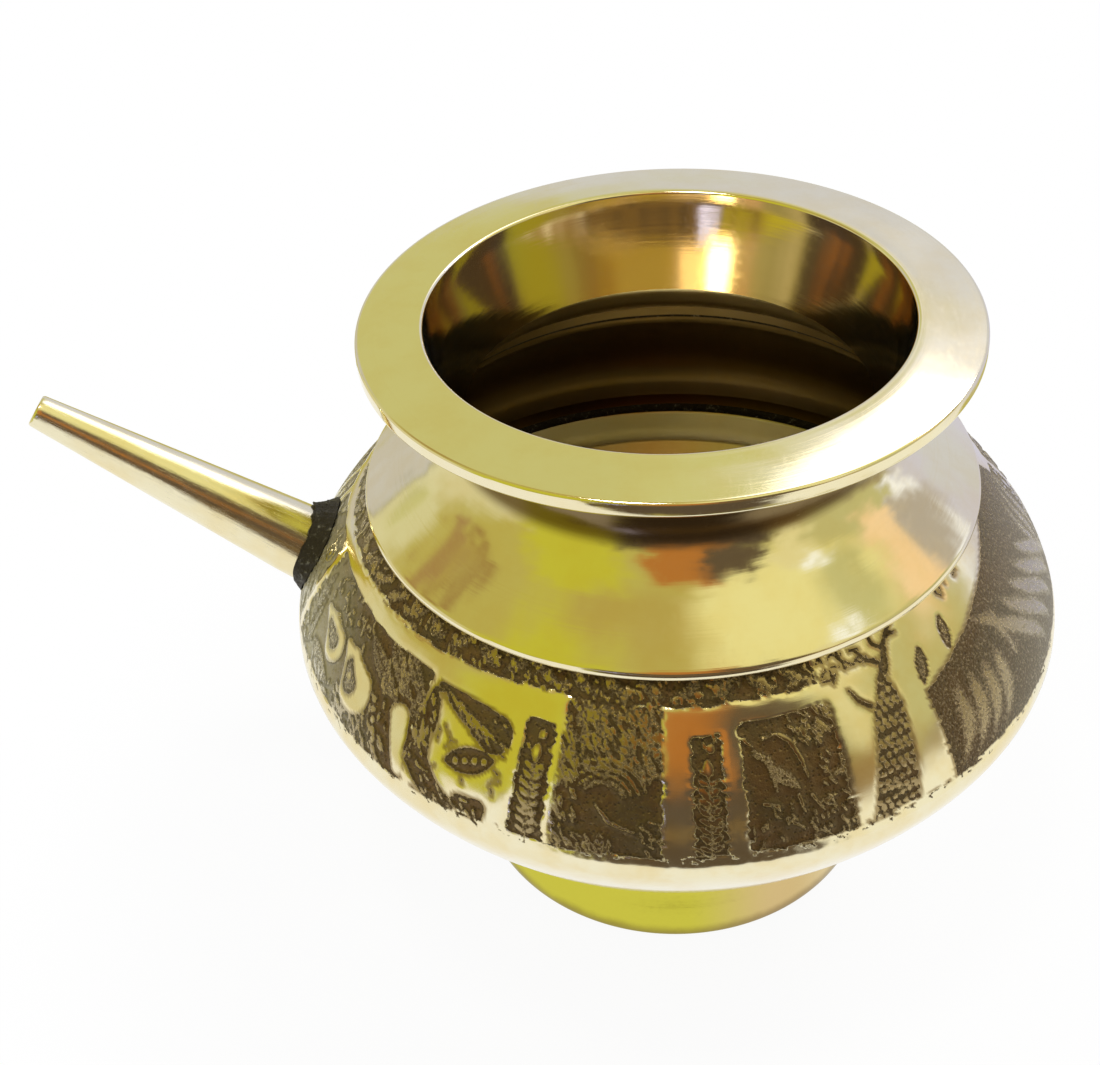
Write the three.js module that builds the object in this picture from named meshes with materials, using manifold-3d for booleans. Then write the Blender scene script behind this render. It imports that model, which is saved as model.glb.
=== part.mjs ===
// Karwa pot: a footed brass water pot with a wide flanged mouth and a straight tapered spout.
// Millimetres, +Z up. The origin is at the middle of the pot's footprint, on the surface it stands on,
// so the pot's own axis stands a little to +X and the spout points to -X.
import * as THREE from "three";
import { mergeVertices } from "three/addons/utils/BufferGeometryUtils.js";
import Module from "manifold-3d";

const wasm = await Module();
wasm.setup();

// Heights above the surface that the pot stands on
const potHeight = 101.2;
const throatHeight = 86;
const shoulderHeight = 72.4;
const bellyHeight = 50;
const seamHeight = 41;
const footHeight = 13;

// Outer radii
const rimRadius = 45;
const shoulderRadius = 47.1;
const bellyRadius = 61;
const footRadius = 35.2;
const footTopRadius = 31.4;

// Rim, mouth and neck
const rimThickness = 2.2;
const rimRise = 0.6;
const mouthRadius = 35.2;
const mouthRounding = 0.5;
const throatRadius = 30.5;
const throatFlare = 3;

// Walls and the lap joints between the turned pieces
const collarWall = 1.3;
const shellWall = 1.3;
const footWall = 1.6;
const footLandWidth = 2.6;
const collarLip = 2.2;
const collarLap = 1.3;
const bellyLap = 3.5;
const seamBead = 1;
const bowlSag = 1.6;

// Spout: its axis meets the pot's axis at spoutAxisHeight and climbs at spoutAngle to the tip
const spoutAxisHeight = 14.9;
const spoutAngle = THREE.MathUtils.degToRad(35.5);
const spoutTipReach = 98;
const spoutTipRadius = 2.6;
const spoutRootRadius = 6.3;
const spoutTipWall = 0.8;
const spoutRootWall = 1.1;
const spoutInside = 1;

// Solder round the spout, and the gap that it closes
const solderGap = 0.3;
const solderSpread = 2.4;
const solderClimb = 3;
const solderEdge = 0.25;
const solderHollow = 0.3;

// Fullness of the curves: how far each end's pull reaches, as a share of the width or height spanned
const bellyPullOut = 0.53;
const bellyPullDown = 0.31;
const widestPullUp = 0.25;
const widestPullDown = 0.16;
const bowlPullOut = 0.4;
const bowlPullUp = 0.21;
const floorPullOut = 0.7;
const floorPullIn = 0.3;
const rimPullIn = 0.54;
const footPullDown = 0.34;
const footPullUp = 0.36;

// Neck and shoulder: where the flare turns over into the sloping shoulder, how round its ends are, and
// the roll at the shoulder's edge
const turnoverDrop = 0.2;
const turnoverPull = new THREE.Vector2(3, -2.05);
const neckPull = 1.8;
const shoulderPull = 3;
const shoulderRoll = 0.9;
const skirtHeight = 0.7;
const rollTurn = THREE.MathUtils.degToRad(52.4);

// Broken edges, and the least room that a wall's points keep from a corner
const edgeBreak = 0.4;
const rimBulge = 0.1;
const footEdgeHeight = 1.2;
const cornerRoom = 0.4;

// Facets
const turns = 48;
const spoutSides = 24;
const curveSteps = 9;
const shortCurveSteps = 5;

const spoutTipRise = spoutTipReach * Math.tan(spoutAngle);
const spoutLength = Math.hypot(spoutTipReach, spoutTipRise);
const spoutLeft = spoutTipReach + spoutTipRadius * Math.sin(spoutAngle);
const potAxisX = (spoutLeft - bellyRadius) / 2;

const polishedBrass = new THREE.MeshStandardMaterial({ color: 0xd9c283, roughness: 0.16, metalness: 1 });
const engravedBrass = new THREE.MeshStandardMaterial({ color: 0x8f7434, roughness: 0.42, metalness: 1 });
const bowlBrass = new THREE.MeshStandardMaterial({ color: 0xcfc08e, roughness: 0.2, metalness: 1 });
const spoutBrass = new THREE.MeshStandardMaterial({ color: 0xc9b27c, roughness: 0.24, metalness: 1 });
const solder = new THREE.MeshStandardMaterial({ color: 0x5c4a30, roughness: 0.6, metalness: 0.8 });

function point(radius, height) {
  return new THREE.Vector2(radius, height);
}

// Points of a cubic curve, both ends included
function curve(start, pullStart, pullEnd, end, steps) {
  return new THREE.CubicBezierCurve(start, pullStart, pullEnd, end).getPoints(steps);
}

// Points of one stretch of a curve, whose ends are given as shares of the whole
function stretch(whole, from, to, steps) {
  return Array.from({ length: steps + 1 }, (_, i) => whole.getPoint(from + ((to - from) * i) / steps));
}

// The share at which a curve that runs downwards passes a height
function shareAtHeight(whole, height) {
  let [above, below] = [0, 1];
  for (let i = 0; i < 40; i += 1) {
    const middle = (above + below) / 2;
    if (whole.getPoint(middle).y > height) above = middle;
    else below = middle;
  }
  return above;
}

// The same run of points moved to its right-hand side, which is the inside of a wall drawn downwards
function offset(points, distance) {
  return points.map((here, index) => {
    const before = points[Math.max(index - 1, 0)];
    const after = points[Math.min(index + 1, points.length - 1)];
    const along = after.clone().sub(before).normalize();
    return point(here.x + along.y * distance, here.y - along.x * distance);
  });
}

// One closed skin with shared corners and no empty triangles
function welded(geometry) {
  geometry.deleteAttribute("normal");
  geometry.deleteAttribute("uv");
  const merged = mergeVertices(geometry, 1e-5);
  const corners = merged.getIndex().array;
  const kept = [];
  for (let i = 0; i < corners.length; i += 3) {
    const [a, b, c] = corners.slice(i, i + 3);
    if (a !== b && b !== c && c !== a) kept.push(a, b, c);
  }
  merged.setIndex(kept);
  return merged;
}

// A profile of radius and height turned about +Z
function turned(profile, sides) {
  return welded(new THREE.LatheGeometry(profile, sides).rotateX(Math.PI / 2));
}

function solidOf(geometry) {
  const vertProperties = new Float32Array(geometry.getAttribute("position").array);
  const triVerts = new Uint32Array(geometry.getIndex().array);
  return new wasm.Manifold(new wasm.Mesh({ numProp: 3, vertProperties, triVerts }));
}

function geometryOf(solid) {
  const mesh = solid.getMesh();
  const geometry = new THREE.BufferGeometry();
  geometry.setAttribute("position", new THREE.Float32BufferAttribute(mesh.vertProperties, 3));
  geometry.setIndex(Array.from(mesh.triVerts));
  return geometry;
}

function piece(name, geometry, material) {
  geometry.computeVertexNormals();
  const mesh = new THREE.Mesh(geometry, material);
  mesh.name = name;
  return mesh;
}

// Outer outline of the body, drawn from the top down: the belly above its widest line, then below it
const lipOuterRadius = shoulderRadius - collarLip;
const lipInnerRadius = lipOuterRadius - shellWall;
const lipTop = shoulderHeight + collarLap;
const bellyDrop = shoulderHeight - bellyHeight;
const bellySwell = bellyRadius - lipOuterRadius;
const upperOutline = curve(
  point(lipOuterRadius, shoulderHeight),
  point(lipOuterRadius + bellyPullOut * bellySwell, shoulderHeight - bellyPullDown * bellyDrop),
  point(bellyRadius, bellyHeight + widestPullUp * bellyDrop),
  point(bellyRadius, bellyHeight),
  curveSteps
);

const bowlDrop = bellyHeight - footHeight;
const bowlSwell = bellyRadius - footTopRadius;
const lowerCurve = new THREE.CubicBezierCurve(
  point(bellyRadius, bellyHeight),
  point(bellyRadius, bellyHeight - widestPullDown * bowlDrop),
  point(footTopRadius + bowlPullOut * bowlSwell, footHeight + bowlPullUp * bowlDrop),
  point(footTopRadius, footHeight)
);
const seamShare = shareAtHeight(lowerCurve, seamHeight);
const belowWidest = stretch(lowerCurve, 0, seamShare, shortCurveSteps - 3);
const bowlOutline = stretch(lowerCurve, seamShare, 1, curveSteps);
const shellOutline = [...upperOutline, ...belowWidest.slice(1)];

// Lap joint under the widest line: the bowl's upright lip stands inside the belly shell, whose
// wall leans out a little above it
const lapOuterRadius = bowlOutline[0].x - shellWall;
const lapInnerRadius = lapOuterRadius - shellWall;
const lapTop = seamHeight + bellyLap;
const wallLean = 0.15;
const beadOnShell = point(lapOuterRadius + wallLean * seamBead, lapTop + seamBead);

// Underside of the bowl, from the foot to the axis; it starts to dip at once inside the foot
const dipAtFoot = 0.1;
const dipAtBead = 0.18;
const footInnerTop = point(footTopRadius - footWall, footHeight - dipAtFoot * bowlSag);
const beadOnBowl = point(footInnerTop.x - seamBead, footHeight - dipAtBead * bowlSag);
const bowlBottom = curve(
  beadOnBowl,
  point(floorPullOut * footTopRadius, footHeight - floorPullOut * bowlSag),
  point(floorPullIn * footTopRadius, footHeight - bowlSag),
  point(0, footHeight - bowlSag),
  shortCurveSteps
);

// Rim, neck and shoulder: one turned casting whose skirt drops over the belly shell's lip
function rimAndShoulder() {
  const rimEdge = potHeight - rimRise;
  const rimUnder = rimEdge - rimThickness;
  const neckRadius = throatRadius + collarWall;
  const turnover = point(
    0.5 * (neckRadius + shoulderRadius),
    0.5 * (throatHeight + shoulderHeight) - turnoverDrop
  );
  const underRim = curve(
    point(rimRadius - edgeBreak, rimUnder),
    point(rimRadius - rimPullIn * (rimRadius - neckRadius), rimUnder - edgeBreak),
    point(neckRadius, throatHeight + throatFlare),
    point(neckRadius, throatHeight),
    curveSteps - 2
  );
  const neckFlare = curve(
    point(neckRadius, throatHeight),
    point(neckRadius, throatHeight - neckPull),
    turnover.clone().sub(turnoverPull),
    turnover,
    shortCurveSteps
  );
  const rollHeight = shoulderHeight + skirtHeight;
  const roll = [1, 2 / 3, 1 / 3, 0].map((share) => {
    const turn = share * rollTurn;
    const across = shoulderRadius - shoulderRoll * (1 - Math.cos(turn));
    return point(across, rollHeight + shoulderRoll * Math.sin(turn));
  });
  const slope = curve(
    turnover,
    turnover.clone().add(turnoverPull),
    point(roll[0].x - shoulderPull * Math.sin(rollTurn), roll[0].y + shoulderPull * Math.cos(rollTurn)),
    roll[0],
    shortCurveSteps + 1
  );
  const flareInside = offset([...neckFlare, ...slope.slice(1, 4)], collarWall);
  const insideStart = point(lipInnerRadius - seamBead, lipTop);
  const mouthEdge = [0, 22.5, 45, 67.5, 90].map((degrees) => {
    const turn = THREE.MathUtils.degToRad(degrees);
    const across = mouthRadius + mouthRounding * (1 - Math.cos(turn));
    return point(across, potHeight - mouthRounding * (1 - Math.sin(turn)));
  });
  const inside = flareInside.filter(
    (here) => here.x < insideStart.x - cornerRoom && here.y < throatHeight - cornerRoom
  );
  const profile = [
    insideStart,
    ...inside.reverse(),
    point(throatRadius, throatHeight),
    ...mouthEdge,
    point(rimRadius - edgeBreak, rimEdge),
    point(rimRadius, rimEdge - edgeBreak),
    point(rimRadius + rimBulge, rimEdge - 0.5 * rimThickness),
    point(rimRadius, rimUnder + edgeBreak),
    ...underRim,
    ...neckFlare.slice(1),
    ...slope.slice(1),
    ...roll.slice(1),
    point(shoulderRadius, shoulderHeight + edgeBreak),
    point(shoulderRadius - edgeBreak, shoulderHeight),
    point(lipOuterRadius, shoulderHeight),
    point(lipOuterRadius, lipTop),
    point(lipInnerRadius, lipTop),
    insideStart,
  ];
  return turned(profile.reverse(), turns);
}

// Inner face of the belly shell from the top of its lip down to the lap joint
function bellyInside() {
  const wall = offset(shellOutline, shellWall);
  return [
    point(lipInnerRadius, lipTop),
    point(lipInnerRadius, lipTop - seamBead),
    ...wall.filter((here) => here.x > lipInnerRadius + cornerRoom && here.y > beadOnShell.y + cornerRoom),
    beadOnShell,
    point(lapOuterRadius, lapTop),
    point(lapOuterRadius, seamHeight),
  ];
}

// The spout's own frame: local +Z runs from the pot's axis up to the tip
const spoutPlace = new THREE.Matrix4()
  .makeTranslation(0, 0, spoutAxisHeight)
  .multiply(new THREE.Matrix4().makeRotationY(spoutAngle - Math.PI / 2));

function outlineRadiusAt(height) {
  const outline = [...shellOutline, ...bowlOutline.slice(1)];
  const after = outline.findIndex((here) => here.y <= height);
  const [above, below] = [outline[after - 1], outline[after]];
  return above.x + ((above.y - height) / (above.y - below.y)) * (below.x - above.x);
}

// How far along the spout's axis a line beside that axis comes out of the belly
function meetsBelly(radius, angle) {
  let [inside, outside] = [0.8 * bellyRadius, 1.6 * bellyRadius];
  for (let i = 0; i < 40; i += 1) {
    const middle = (inside + outside) / 2;
    const here = spoutPoint(radius, angle, middle);
    const height = Math.min(Math.max(here.z, footHeight), shoulderHeight - 0.01);
    if (Math.hypot(here.x, here.y) < outlineRadiusAt(height)) inside = middle;
    else outside = middle;
  }
  return inside;
}

function spoutPoint(radius, angle, along) {
  return new THREE.Vector3(radius * Math.cos(angle), radius * Math.sin(angle), along).applyMatrix4(spoutPlace);
}

const spoutExitAt = meetsBelly(0, 0);

function spoutRadiusAt(along) {
  const share = (along - spoutExitAt) / (spoutLength - spoutExitAt);
  return spoutRootRadius + share * (spoutTipRadius - spoutRootRadius);
}

// A solid cone along the spout's axis, wider than the spout by extra
function spoutCone(from, to, extra) {
  const profile = [
    point(0, from),
    point(spoutRadiusAt(from) + extra, from),
    point(spoutRadiusAt(to) + extra, to),
    point(0, to),
  ];
  return solidOf(turned(profile, spoutSides).applyMatrix4(spoutPlace));
}

// Everything inside a face that stands the given distance outside the belly shell's outer face
function bellyFilled(distance) {
  const outline = offset([...shellOutline, ...bowlOutline.slice(1)], -distance);
  const profile = [point(0, shoulderHeight), ...outline, point(0, footHeight)];
  return solidOf(turned(profile.reverse(), turns));
}

// Length along the axis that clears the wall on both sides
const wallPass = 4 * spoutRootRadius;

function bellyShell() {
  const inside = bellyInside();
  const profile = [
    point(lipOuterRadius, lipTop),
    ...shellOutline,
    ...inside.reverse(),
    point(lipOuterRadius, lipTop),
  ];
  const shell = solidOf(turned(profile.reverse(), turns));
  const hole = spoutCone(spoutExitAt - wallPass / 2, spoutExitAt + wallPass / 2, solderGap);
  return geometryOf(shell.subtract(hole));
}

// Bowl: an even wall with a flat-bottomed floor and an upright lip
function lowerBowl() {
  const wall = offset(bowlOutline, shellWall).filter((here) => here.x < lapInnerRadius - cornerRoom);
  const floor = bowlBottom.map((here) => point(here.x, here.y + shellWall));
  const profile = [
    point(lapOuterRadius, lapTop),
    point(lapOuterRadius, seamHeight),
    ...bowlOutline,
    footInnerTop,
    ...bowlBottom,
    ...floor.reverse(),
    ...wall.reverse(),
    point(lapInnerRadius, seamHeight),
    point(lapInnerRadius, lapTop),
    point(lapOuterRadius - seamBead, lapTop),
    point(lapOuterRadius, lapTop),
  ];
  return turned(profile.reverse(), turns);
}

// Foot: a flared ring on a flat land, let up against the underside of the bowl
function footRing() {
  const side = curve(
    point(footTopRadius, footHeight),
    point(footTopRadius, (1 - footPullDown) * footHeight),
    point(footRadius - footWall / 2, footPullUp * footHeight),
    point(footRadius, footEdgeHeight),
    shortCurveSteps
  );
  const inner = [
    point(footInnerTop.x, footInnerTop.y - seamBead),
    point(footInnerTop.x, 0.5 * footHeight),
    point(footRadius - footLandWidth - edgeBreak, footEdgeHeight),
    point(footRadius - footLandWidth, 0),
  ];
  const profile = [
    ...side,
    point(footRadius - edgeBreak, 0),
    ...inner.reverse(),
    footInnerTop,
    point(footTopRadius, footHeight),
  ];
  return turned(profile.reverse(), turns);
}

// Spout: a tapered tube, square at the tip and trimmed to the belly's curve at the root
function spoutTube() {
  const from = spoutExitAt - wallPass / 2;
  const wallSlope = (spoutTipWall - spoutRootWall) / (spoutLength - spoutExitAt);
  const wallAt = (along) => spoutRootWall + wallSlope * (along - spoutExitAt);
  const stations = [from, spoutExitAt, 0.5 * (spoutExitAt + spoutLength), spoutLength];
  const outer = stations.map((along) => point(spoutRadiusAt(along), along));
  const bore = stations.map((along) => point(spoutRadiusAt(along) - wallAt(along), along));
  const profile = [...outer, ...bore.reverse(), outer[0]];
  const tube = solidOf(turned(profile, spoutSides).applyMatrix4(spoutPlace));
  return geometryOf(tube.subtract(bellyFilled(-shellWall - spoutInside)));
}

// Solder drawn up round the spout's root: a hollow-sided ring that follows the belly's curve
function spoutSolder() {
  const section = (angle) => {
    const touch = spoutRootRadius + solderGap;
    const seat = (radius) => meetsBelly(radius, angle) + solderGap;
    const top = seat(touch) + solderClimb;
    const halfway = touch + 0.5 * solderSpread;
    const hollow = touch + solderHollow * solderSpread;
    const foot = touch + solderSpread;
    const places = [
      point(touch, seat(touch)),
      point(halfway, seat(halfway)),
      point(foot, seat(foot)),
      point(foot, seat(foot) + solderEdge),
      point(hollow, seat(hollow) + solderHollow * solderClimb),
      point(spoutRadiusAt(top) + solderGap + solderEdge, top),
      point(spoutRadiusAt(top) + solderGap, top),
    ];
    return places.map((place) => spoutPoint(place.x, angle, place.y));
  };
  const rings = Array.from({ length: spoutSides }, (_, i) => section((2 * Math.PI * i) / spoutSides));
  return loftedRing(rings);
}

// A closed ring lofted through sections of equal length, each a closed loop
function loftedRing(sections) {
  const size = sections[0].length;
  const corners = [];
  sections.forEach((_, i) => {
    const next = (i + 1) % sections.length;
    for (let j = 0; j < size; j += 1) {
      const k = (j + 1) % size;
      const [a, b, c, d] = [i * size + j, next * size + j, next * size + k, i * size + k];
      corners.push(a, b, c, a, c, d);
    }
  });
  const geometry = new THREE.BufferGeometry().setFromPoints(sections.flat());
  geometry.setIndex(corners);
  return geometry;
}

// Seam beads: three-sided rings of solder in the inside corners of the turned joints
function bead(corner, alongFirst, alongSecond) {
  return turned([corner, alongFirst, alongSecond, corner], turns);
}

function shoulderBead() {
  const corner = point(lipInnerRadius, lipTop);
  return bead(corner, point(lipInnerRadius - seamBead, lipTop), point(lipInnerRadius, lipTop - seamBead));
}

function bellyBead() {
  const corner = point(lapOuterRadius, lapTop);
  return bead(corner, beadOnShell, point(lapOuterRadius - seamBead, lapTop));
}

function footBead() {
  return bead(footInnerTop, beadOnBowl, point(footInnerTop.x, footInnerTop.y - seamBead));
}

const pot = new THREE.Group();
pot.position.x = potAxisX;
pot.add(
  piece("rim_and_shoulder", rimAndShoulder(), polishedBrass),
  piece("belly_shell", bellyShell(), engravedBrass),
  piece("lower_bowl", lowerBowl(), bowlBrass),
  piece("foot_ring", footRing(), bowlBrass),
  piece("spout_tube", spoutTube(), spoutBrass),
  piece("spout_solder", spoutSolder(), solder),
  piece("shoulder_seam_solder", shoulderBead(), solder),
  piece("belly_seam_solder", bellyBead(), solder),
  piece("foot_seam_solder", footBead(), solder)
);

const karwaPot = new THREE.Group();
karwaPot.add(pot);
export default karwaPot;
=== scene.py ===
# Karwa pot, dressed: turned brass with a chased belly, on a pale floor in soft studio light.
# Radii are millimetres from the pot's own axis and heights are millimetres above the floor; meshes
# are metres. An azimuth of 0 faces the camera's side, -Y, and grows towards +X.
import math

import bmesh
import bpy
import numpy as np
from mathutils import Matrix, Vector


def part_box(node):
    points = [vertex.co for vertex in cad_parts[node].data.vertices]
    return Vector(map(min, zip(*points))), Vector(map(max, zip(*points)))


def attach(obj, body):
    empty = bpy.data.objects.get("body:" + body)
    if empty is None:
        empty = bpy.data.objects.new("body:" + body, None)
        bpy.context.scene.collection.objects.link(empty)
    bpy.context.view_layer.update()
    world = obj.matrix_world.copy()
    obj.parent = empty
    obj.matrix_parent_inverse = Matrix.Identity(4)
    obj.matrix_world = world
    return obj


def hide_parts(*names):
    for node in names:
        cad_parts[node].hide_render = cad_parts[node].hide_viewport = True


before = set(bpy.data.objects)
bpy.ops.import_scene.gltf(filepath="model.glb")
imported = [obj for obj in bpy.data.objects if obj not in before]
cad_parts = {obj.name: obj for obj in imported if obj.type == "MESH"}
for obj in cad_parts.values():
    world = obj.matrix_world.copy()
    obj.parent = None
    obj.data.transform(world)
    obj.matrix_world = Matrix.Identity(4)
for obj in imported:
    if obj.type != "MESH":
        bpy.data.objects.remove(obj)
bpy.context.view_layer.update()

MM = 0.001
TAU = 2 * math.pi
SEED = 41


def box_mm(node):
    """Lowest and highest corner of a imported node, in millimetres."""
    low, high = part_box(node)
    return np.array(low) / MM, np.array(high) / MM


# Main sizes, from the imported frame
rim_low, rim_high = box_mm("rim_and_shoulder")
shell_low, shell_high = box_mm("belly_shell")
foot_low, foot_high = box_mm("foot_ring")
spout_low, _ = box_mm("spout_tube")
axis_x = (rim_low[0] + rim_high[0]) / 2
pot_height = rim_high[2]
shoulder_height = rim_low[2]
shoulder_radius = (rim_high[1] - rim_low[1]) / 2
belly_radius = (shell_high[1] - shell_low[1]) / 2
lip_top = shell_high[2]
seam_height = shell_low[2]
foot_radius = (foot_high[1] - foot_low[1]) / 2
foot_height = foot_high[2]

# The rest of the turned outline
belly_height = 50.0
throat_height = 86.0
rim_radius = 45.0
rim_thickness = 2.2
rim_rise = 0.6
mouth_radius = 35.2
mouth_rounding = 0.5
throat_radius = 30.5
throat_flare = 3.0
waist_rise = 2.6
waist_out = 0.5
turnover_drop = 0.2
turnover_pull = np.array([3.0, -2.05])
flare_pull = 2.9
neck_pull = 1.4
under_rim_pull = 0.54
shoulder_pull = 3.0
shoulder_roll = 0.9
skirt_height = 0.7
roll_turn = math.radians(52.4)
edge_break = 0.4
collar_wall = 1.3
shell_wall = 1.3
foot_wall = 1.6
foot_land = 2.6
foot_top_radius = 31.4
collar_lip = 2.2
belly_lap = 3.5
seam_bead = 1.0
seam_break = 0.12
bowl_sag = 1.6

# How far the handles of the body's curves reach, as shares of their swell and drop
lip_pull = (0.53, 0.31)
belly_pull_up = 0.25
belly_pull_down = 0.16
foot_pull = (0.4, 0.21)

# Where the seams' solder ends: outwards in the lap, and down the bowl's sag at the foot
lap_bead_out = 0.15
foot_seat_share = 0.1
foot_bead_share = 0.18

# Spout: its axis meets the pot's axis at spout_axis_height and climbs at spout_angle to the tip
spout_axis_height = 14.9
spout_angle = math.radians(35.5)
spout_tip_radius = 2.6
spout_root_radius = 6.3
spout_tip_wall = 0.8
spout_root_wall = 1.1
spout_inside = 1.0
solder_gap = 0.3
hole_reach = 12.0
tip_rounding = 0.35
tip_inset = 0.22
bore_break = (0.12, 0.15)

# Solder collar: its reach over the belly and up the spout, what its upper side has more, its lumps
collar_least = 0.9
collar_spread = 1.7
collar_climb = 2.2
collar_lumps = (0.35, 0.4)

# How finely the turned pieces are cut
RIM_COLUMNS = 384
BOWL_COLUMNS = 320
BELLY_COLUMNS = 975
INNER_COLUMNS = 325
BEAD_COLUMNS = 240
SPOUT_SIDES = 96
COLLAR_SIDES = 120


def pt(radius, height):
    return np.array([radius, height], float)


def bezier(start, pull_start, pull_end, end, steps):
    t = np.linspace(0, 1, steps + 1)[:, None]
    s = 1 - t
    return s**3 * start + 3 * s * s * t * pull_start + 3 * s * t * t * pull_end + t**3 * end


def unit(vector):
    return vector / np.linalg.norm(vector)


def fillet(before, corner, after, radius, steps=5):
    """Arc that rounds off one corner of a profile."""
    a, b = unit(before - corner), unit(after - corner)
    half = 0.5 * math.acos(np.clip(a @ b, -1, 1))
    centre = corner + unit(a + b) * radius / math.sin(half)
    start = corner + a * radius / math.tan(half) - centre
    end = corner + b * radius / math.tan(half) - centre
    first = math.atan2(start[1], start[0])
    turn = (math.atan2(end[1], end[0]) - first + math.pi) % TAU - math.pi
    angles = first + turn * np.linspace(0, 1, steps + 1)
    return centre + radius * np.column_stack([np.cos(angles), np.sin(angles)])


def run(*parts):
    """One profile from points and stretches of points, without repeats."""
    points = np.vstack([np.atleast_2d(part) for part in parts])
    apart = np.linalg.norm(np.diff(points, axis=0), axis=1) > 1e-3
    return points[np.concatenate([[True], apart])]


def directions(points):
    """Unit direction along a stretch at each of its points."""
    along = np.gradient(points, axis=0)
    return along / np.linalg.norm(along, axis=1)[:, None]


def offset(points, distance):
    """The same stretch moved to the inside of a wall that is drawn downwards."""
    along = directions(points)
    return points + distance * np.column_stack([along[:, 1], -along[:, 0]])


def arc_lengths(points):
    steps = np.linalg.norm(np.diff(points, axis=0), axis=1)
    return np.concatenate([[0], np.cumsum(steps)])


def at_lengths(points, lengths):
    """Points of a stretch at the given distances along it."""
    along = arc_lengths(points)
    return np.column_stack([np.interp(lengths, along, points[:, i]) for i in range(2)])


# Body outline, from the shoulder down to the foot
lip_outer_radius = shoulder_radius - collar_lip
lip_inner_radius = lip_outer_radius - shell_wall
belly_drop = shoulder_height - belly_height
belly_swell = belly_radius - lip_outer_radius
upper_outline = bezier(
    pt(lip_outer_radius, shoulder_height),
    pt(lip_outer_radius + lip_pull[0] * belly_swell, shoulder_height - lip_pull[1] * belly_drop),
    pt(belly_radius, belly_height + belly_pull_up * belly_drop),
    pt(belly_radius, belly_height),
    400,
)
bowl_drop = belly_height - foot_height
bowl_swell = belly_radius - foot_top_radius
lower_outline = bezier(
    pt(belly_radius, belly_height),
    pt(belly_radius, belly_height - belly_pull_down * bowl_drop),
    pt(foot_top_radius + foot_pull[0] * bowl_swell, foot_height + foot_pull[1] * bowl_drop),
    pt(foot_top_radius, foot_height),
    400,
)
body_outline = run(upper_outline, lower_outline)
shell_outline = body_outline[body_outline[:, 1] >= seam_height]
bowl_outline = body_outline[body_outline[:, 1] <= seam_height]
lap_outer_radius = bowl_outline[0, 0] - shell_wall
lap_inner_radius = lap_outer_radius - shell_wall
lap_top = seam_height + belly_lap

# Corners where pieces meet, and the far ends of the solder in them
lip_corner = pt(lip_inner_radius, lip_top)
seam_edge = pt(bowl_outline[0, 0] - seam_break, seam_height)
lap_corner = pt(lap_outer_radius, lap_top)
lap_bead = lap_corner + (lap_bead_out, seam_bead)
foot_inner_top = pt(foot_top_radius - foot_wall, foot_height - foot_seat_share * bowl_sag)
foot_bead = pt(foot_inner_top[0] - seam_bead, foot_height - foot_bead_share * bowl_sag)


def outline_radius(height):
    return np.interp(height, body_outline[::-1, 1], body_outline[::-1, 0])


# Meshes


def grid_faces(rows, columns, closed):
    """Quads of a grid of points that wraps round in its columns, and in its rows too if closed."""
    row = np.arange(rows if closed else rows - 1)[:, None]
    column = np.arange(columns)[None, :]
    next_row = (row + 1) % rows
    next_column = (column + 1) % columns
    corners = [row * columns + column, row * columns + next_column,
               next_row * columns + next_column, next_row * columns + column]
    return np.stack(np.broadcast_arrays(*corners), axis=-1).reshape(-1, 4).tolist()


def pole_faces(ring, pole):
    """Triangles from a ring of points to one point on the axis."""
    return [(ring[i], ring[(i + 1) % len(ring)], pole) for i in range(len(ring))]


def turns(count):
    """Equally spaced angles round a full turn."""
    return TAU * np.arange(count) / count


def spun(profile, columns):
    """Every point of a profile at every azimuth, as an array of rows by columns by 3."""
    azimuth = turns(columns)
    points = np.empty((len(profile), columns, 3))
    points[..., 0] = profile[:, :1] * np.sin(azimuth)
    points[..., 1] = -profile[:, :1] * np.cos(azimuth)
    points[..., 2] = profile[:, 1:]
    return points


def new_object(name, data):
    made = bpy.data.objects.new(name, data)
    bpy.context.scene.collection.objects.link(made)
    return made


def closed_mesh(name, points, faces):
    """A mesh from points in millimetres, with its faces turned outwards."""
    mesh = bpy.data.meshes.new(name)
    mesh.from_pydata((np.asarray(points) * MM).tolist(), [], faces)
    shell = bmesh.new()
    shell.from_mesh(mesh)
    bmesh.ops.recalc_face_normals(shell, faces=shell.faces)
    shell.to_mesh(mesh)
    shell.free()
    return mesh


def make_piece(name, points, faces, material, nodes):
    """A mesh object on the pot's axis, from points in millimetres round that axis."""
    mesh = closed_mesh(name, points, faces)
    mesh.materials.append(material)
    piece = new_object(name, mesh)
    piece.location = (axis_x * MM, 0, 0)
    mesh.polygons.foreach_set("use_smooth", np.ones(len(mesh.polygons), bool))
    mesh.set_sharp_from_angle(angle=math.radians(38))
    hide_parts(*nodes)
    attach(piece, "root")
    return piece


def turned(name, profile, columns, material, nodes):
    """A closed profile turned about the axis. A profile whose ends are on the axis closes there."""
    if profile[0, 0] > 0:
        points = spun(profile, columns).reshape(-1, 3)
        return make_piece(name, points, grid_faces(len(profile), columns, True), material, nodes)
    rings = profile[1:-1]
    points = spun(rings, columns).reshape(-1, 3)
    faces = grid_faces(len(rings), columns, False)
    first, last = len(points), len(points) + 1
    points = np.vstack([points, [0, 0, profile[0, 1]], [0, 0, profile[-1, 1]]])
    faces += pole_faces(list(range(columns)), first)
    faces += pole_faces(list(range(first - columns, first)), last)
    return make_piece(name, points, faces, material, nodes)


# Shader graphs


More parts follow.
